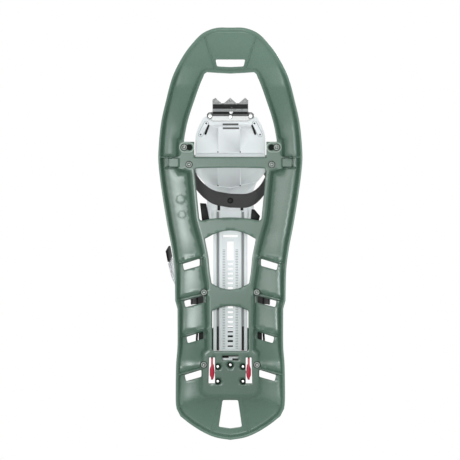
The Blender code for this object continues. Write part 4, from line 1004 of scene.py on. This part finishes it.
# Toe strap: a dark rubber band riveted under the plate, its black nylon ratchet buckle with a lever, and two
# black strap ends under the plate's rear corners. Rubber has next to no gloss and a coarse skin.
webbing = moulded("dark grey rubber", "#454344", 0.62, 0.9, 0.10, 0.45, 0.0, 0.25)
finished("toe_strap", webbing, "binding", 0.0005, slot="grey_rubber")
finished("toe_strap_rivet", black, "binding", 0.0004, slot="black_plastic")
finished("toe_buckle", black, "binding", 0.0004, slot="black_plastic")
for node in ("strap_end_left", "strap_end_right"):
    finished(node, black, "binding", 0.0006, slot="black_plastic")
finished("toe_buckle_lever", black, "toe_lever", 0.0005, slot="black_plastic")

# Heel piece: a black nylon plate and cup that slide on the rail, with rubber ankle straps, a ratchet buckle
# and a sprung latch. All its pins and rivets are zinc-plated.
finished("heel_plate", black, "heel_piece", 0.0005, slot="black_plastic")
finished("heel_cup", black, "heel_piece", 0.0008, slot="black_plastic")
for node in ("ankle_strap_left", "ankle_strap_right"):
    finished(node, webbing, "heel_piece", 0.0005, slot="grey_rubber")
for node in ("ankle_rivet_left", "ankle_rivet_right", "ankle_ladder_rivet", "ankle_buckle_pin", "latch_pin"):
    finished(node, zinc, "heel_piece", 0.0003, slot="steel")
finished("ankle_buckle", black, "heel_piece", 0.0004, slot="black_plastic")
finished("ankle_ladder_tip", black, "heel_piece", 0.0004, slot="black_plastic")
finished("ankle_buckle_lever", black, "ankle_lever", 0.0005, slot="black_plastic")
finished("length_latch", black, "latch", 0.0004, slot="black_plastic")

# Climbing aid: a red nylon bail that turns on its pin beside the heel rest. The red is clean and satin.
crimson = moulded("red nylon", "#e42c50", 0.34, 0.7, 0.05, 0.10)
finished("climbing_aid", crimson, "aid", 0.0005, slot="red_plastic")

# Ladder straps: soft clear polyurethane that runs through the ratchets, with rungs across it.


def translucent(name, colour):
    """Soft clear strap: light passes through it, clouded by fine flow lines."""
    made = bpy.data.materials.new(name)
    made.use_nodes = True
    tree = made.node_tree
    shader = tree.nodes["Principled BSDF"]
    place = add(tree, "ShaderNodeTexCoord").outputs["Object"]
    flow = add(tree, "ShaderNodeTexNoise", {"Vector": place, "Scale": 260.0, "Detail": 3.0})
    mix = {0: flow.outputs["Fac"], 6: srgb(colour), 7: srgb("#f4f5f6")}
    tone = add(tree, "ShaderNodeMix", mix, data_type="RGBA")
    tree.links.new(tone.outputs[2], shader.inputs["Base Color"])
    shader.inputs["Transmission Weight"].default_value = 0.65
    shader.inputs["Roughness"].default_value = 0.28
    shader.inputs["IOR"].default_value = 1.45
    relief = add(tree, "ShaderNodeBump", {"Height": flow.outputs["Fac"], "Strength": 0.1, "Distance": 0.0002})
    tree.links.new(relief.outputs[0], shader.inputs["Normal"])
    return made


clear_tpu = translucent("clear soft polyurethane", "#dfe2e4")
finished("toe_ladder", clear_tpu, "binding", 0.0003, slot="clear_strap")
finished("ankle_ladder", clear_tpu, "heel_piece", 0.0003, slot="clear_strap")
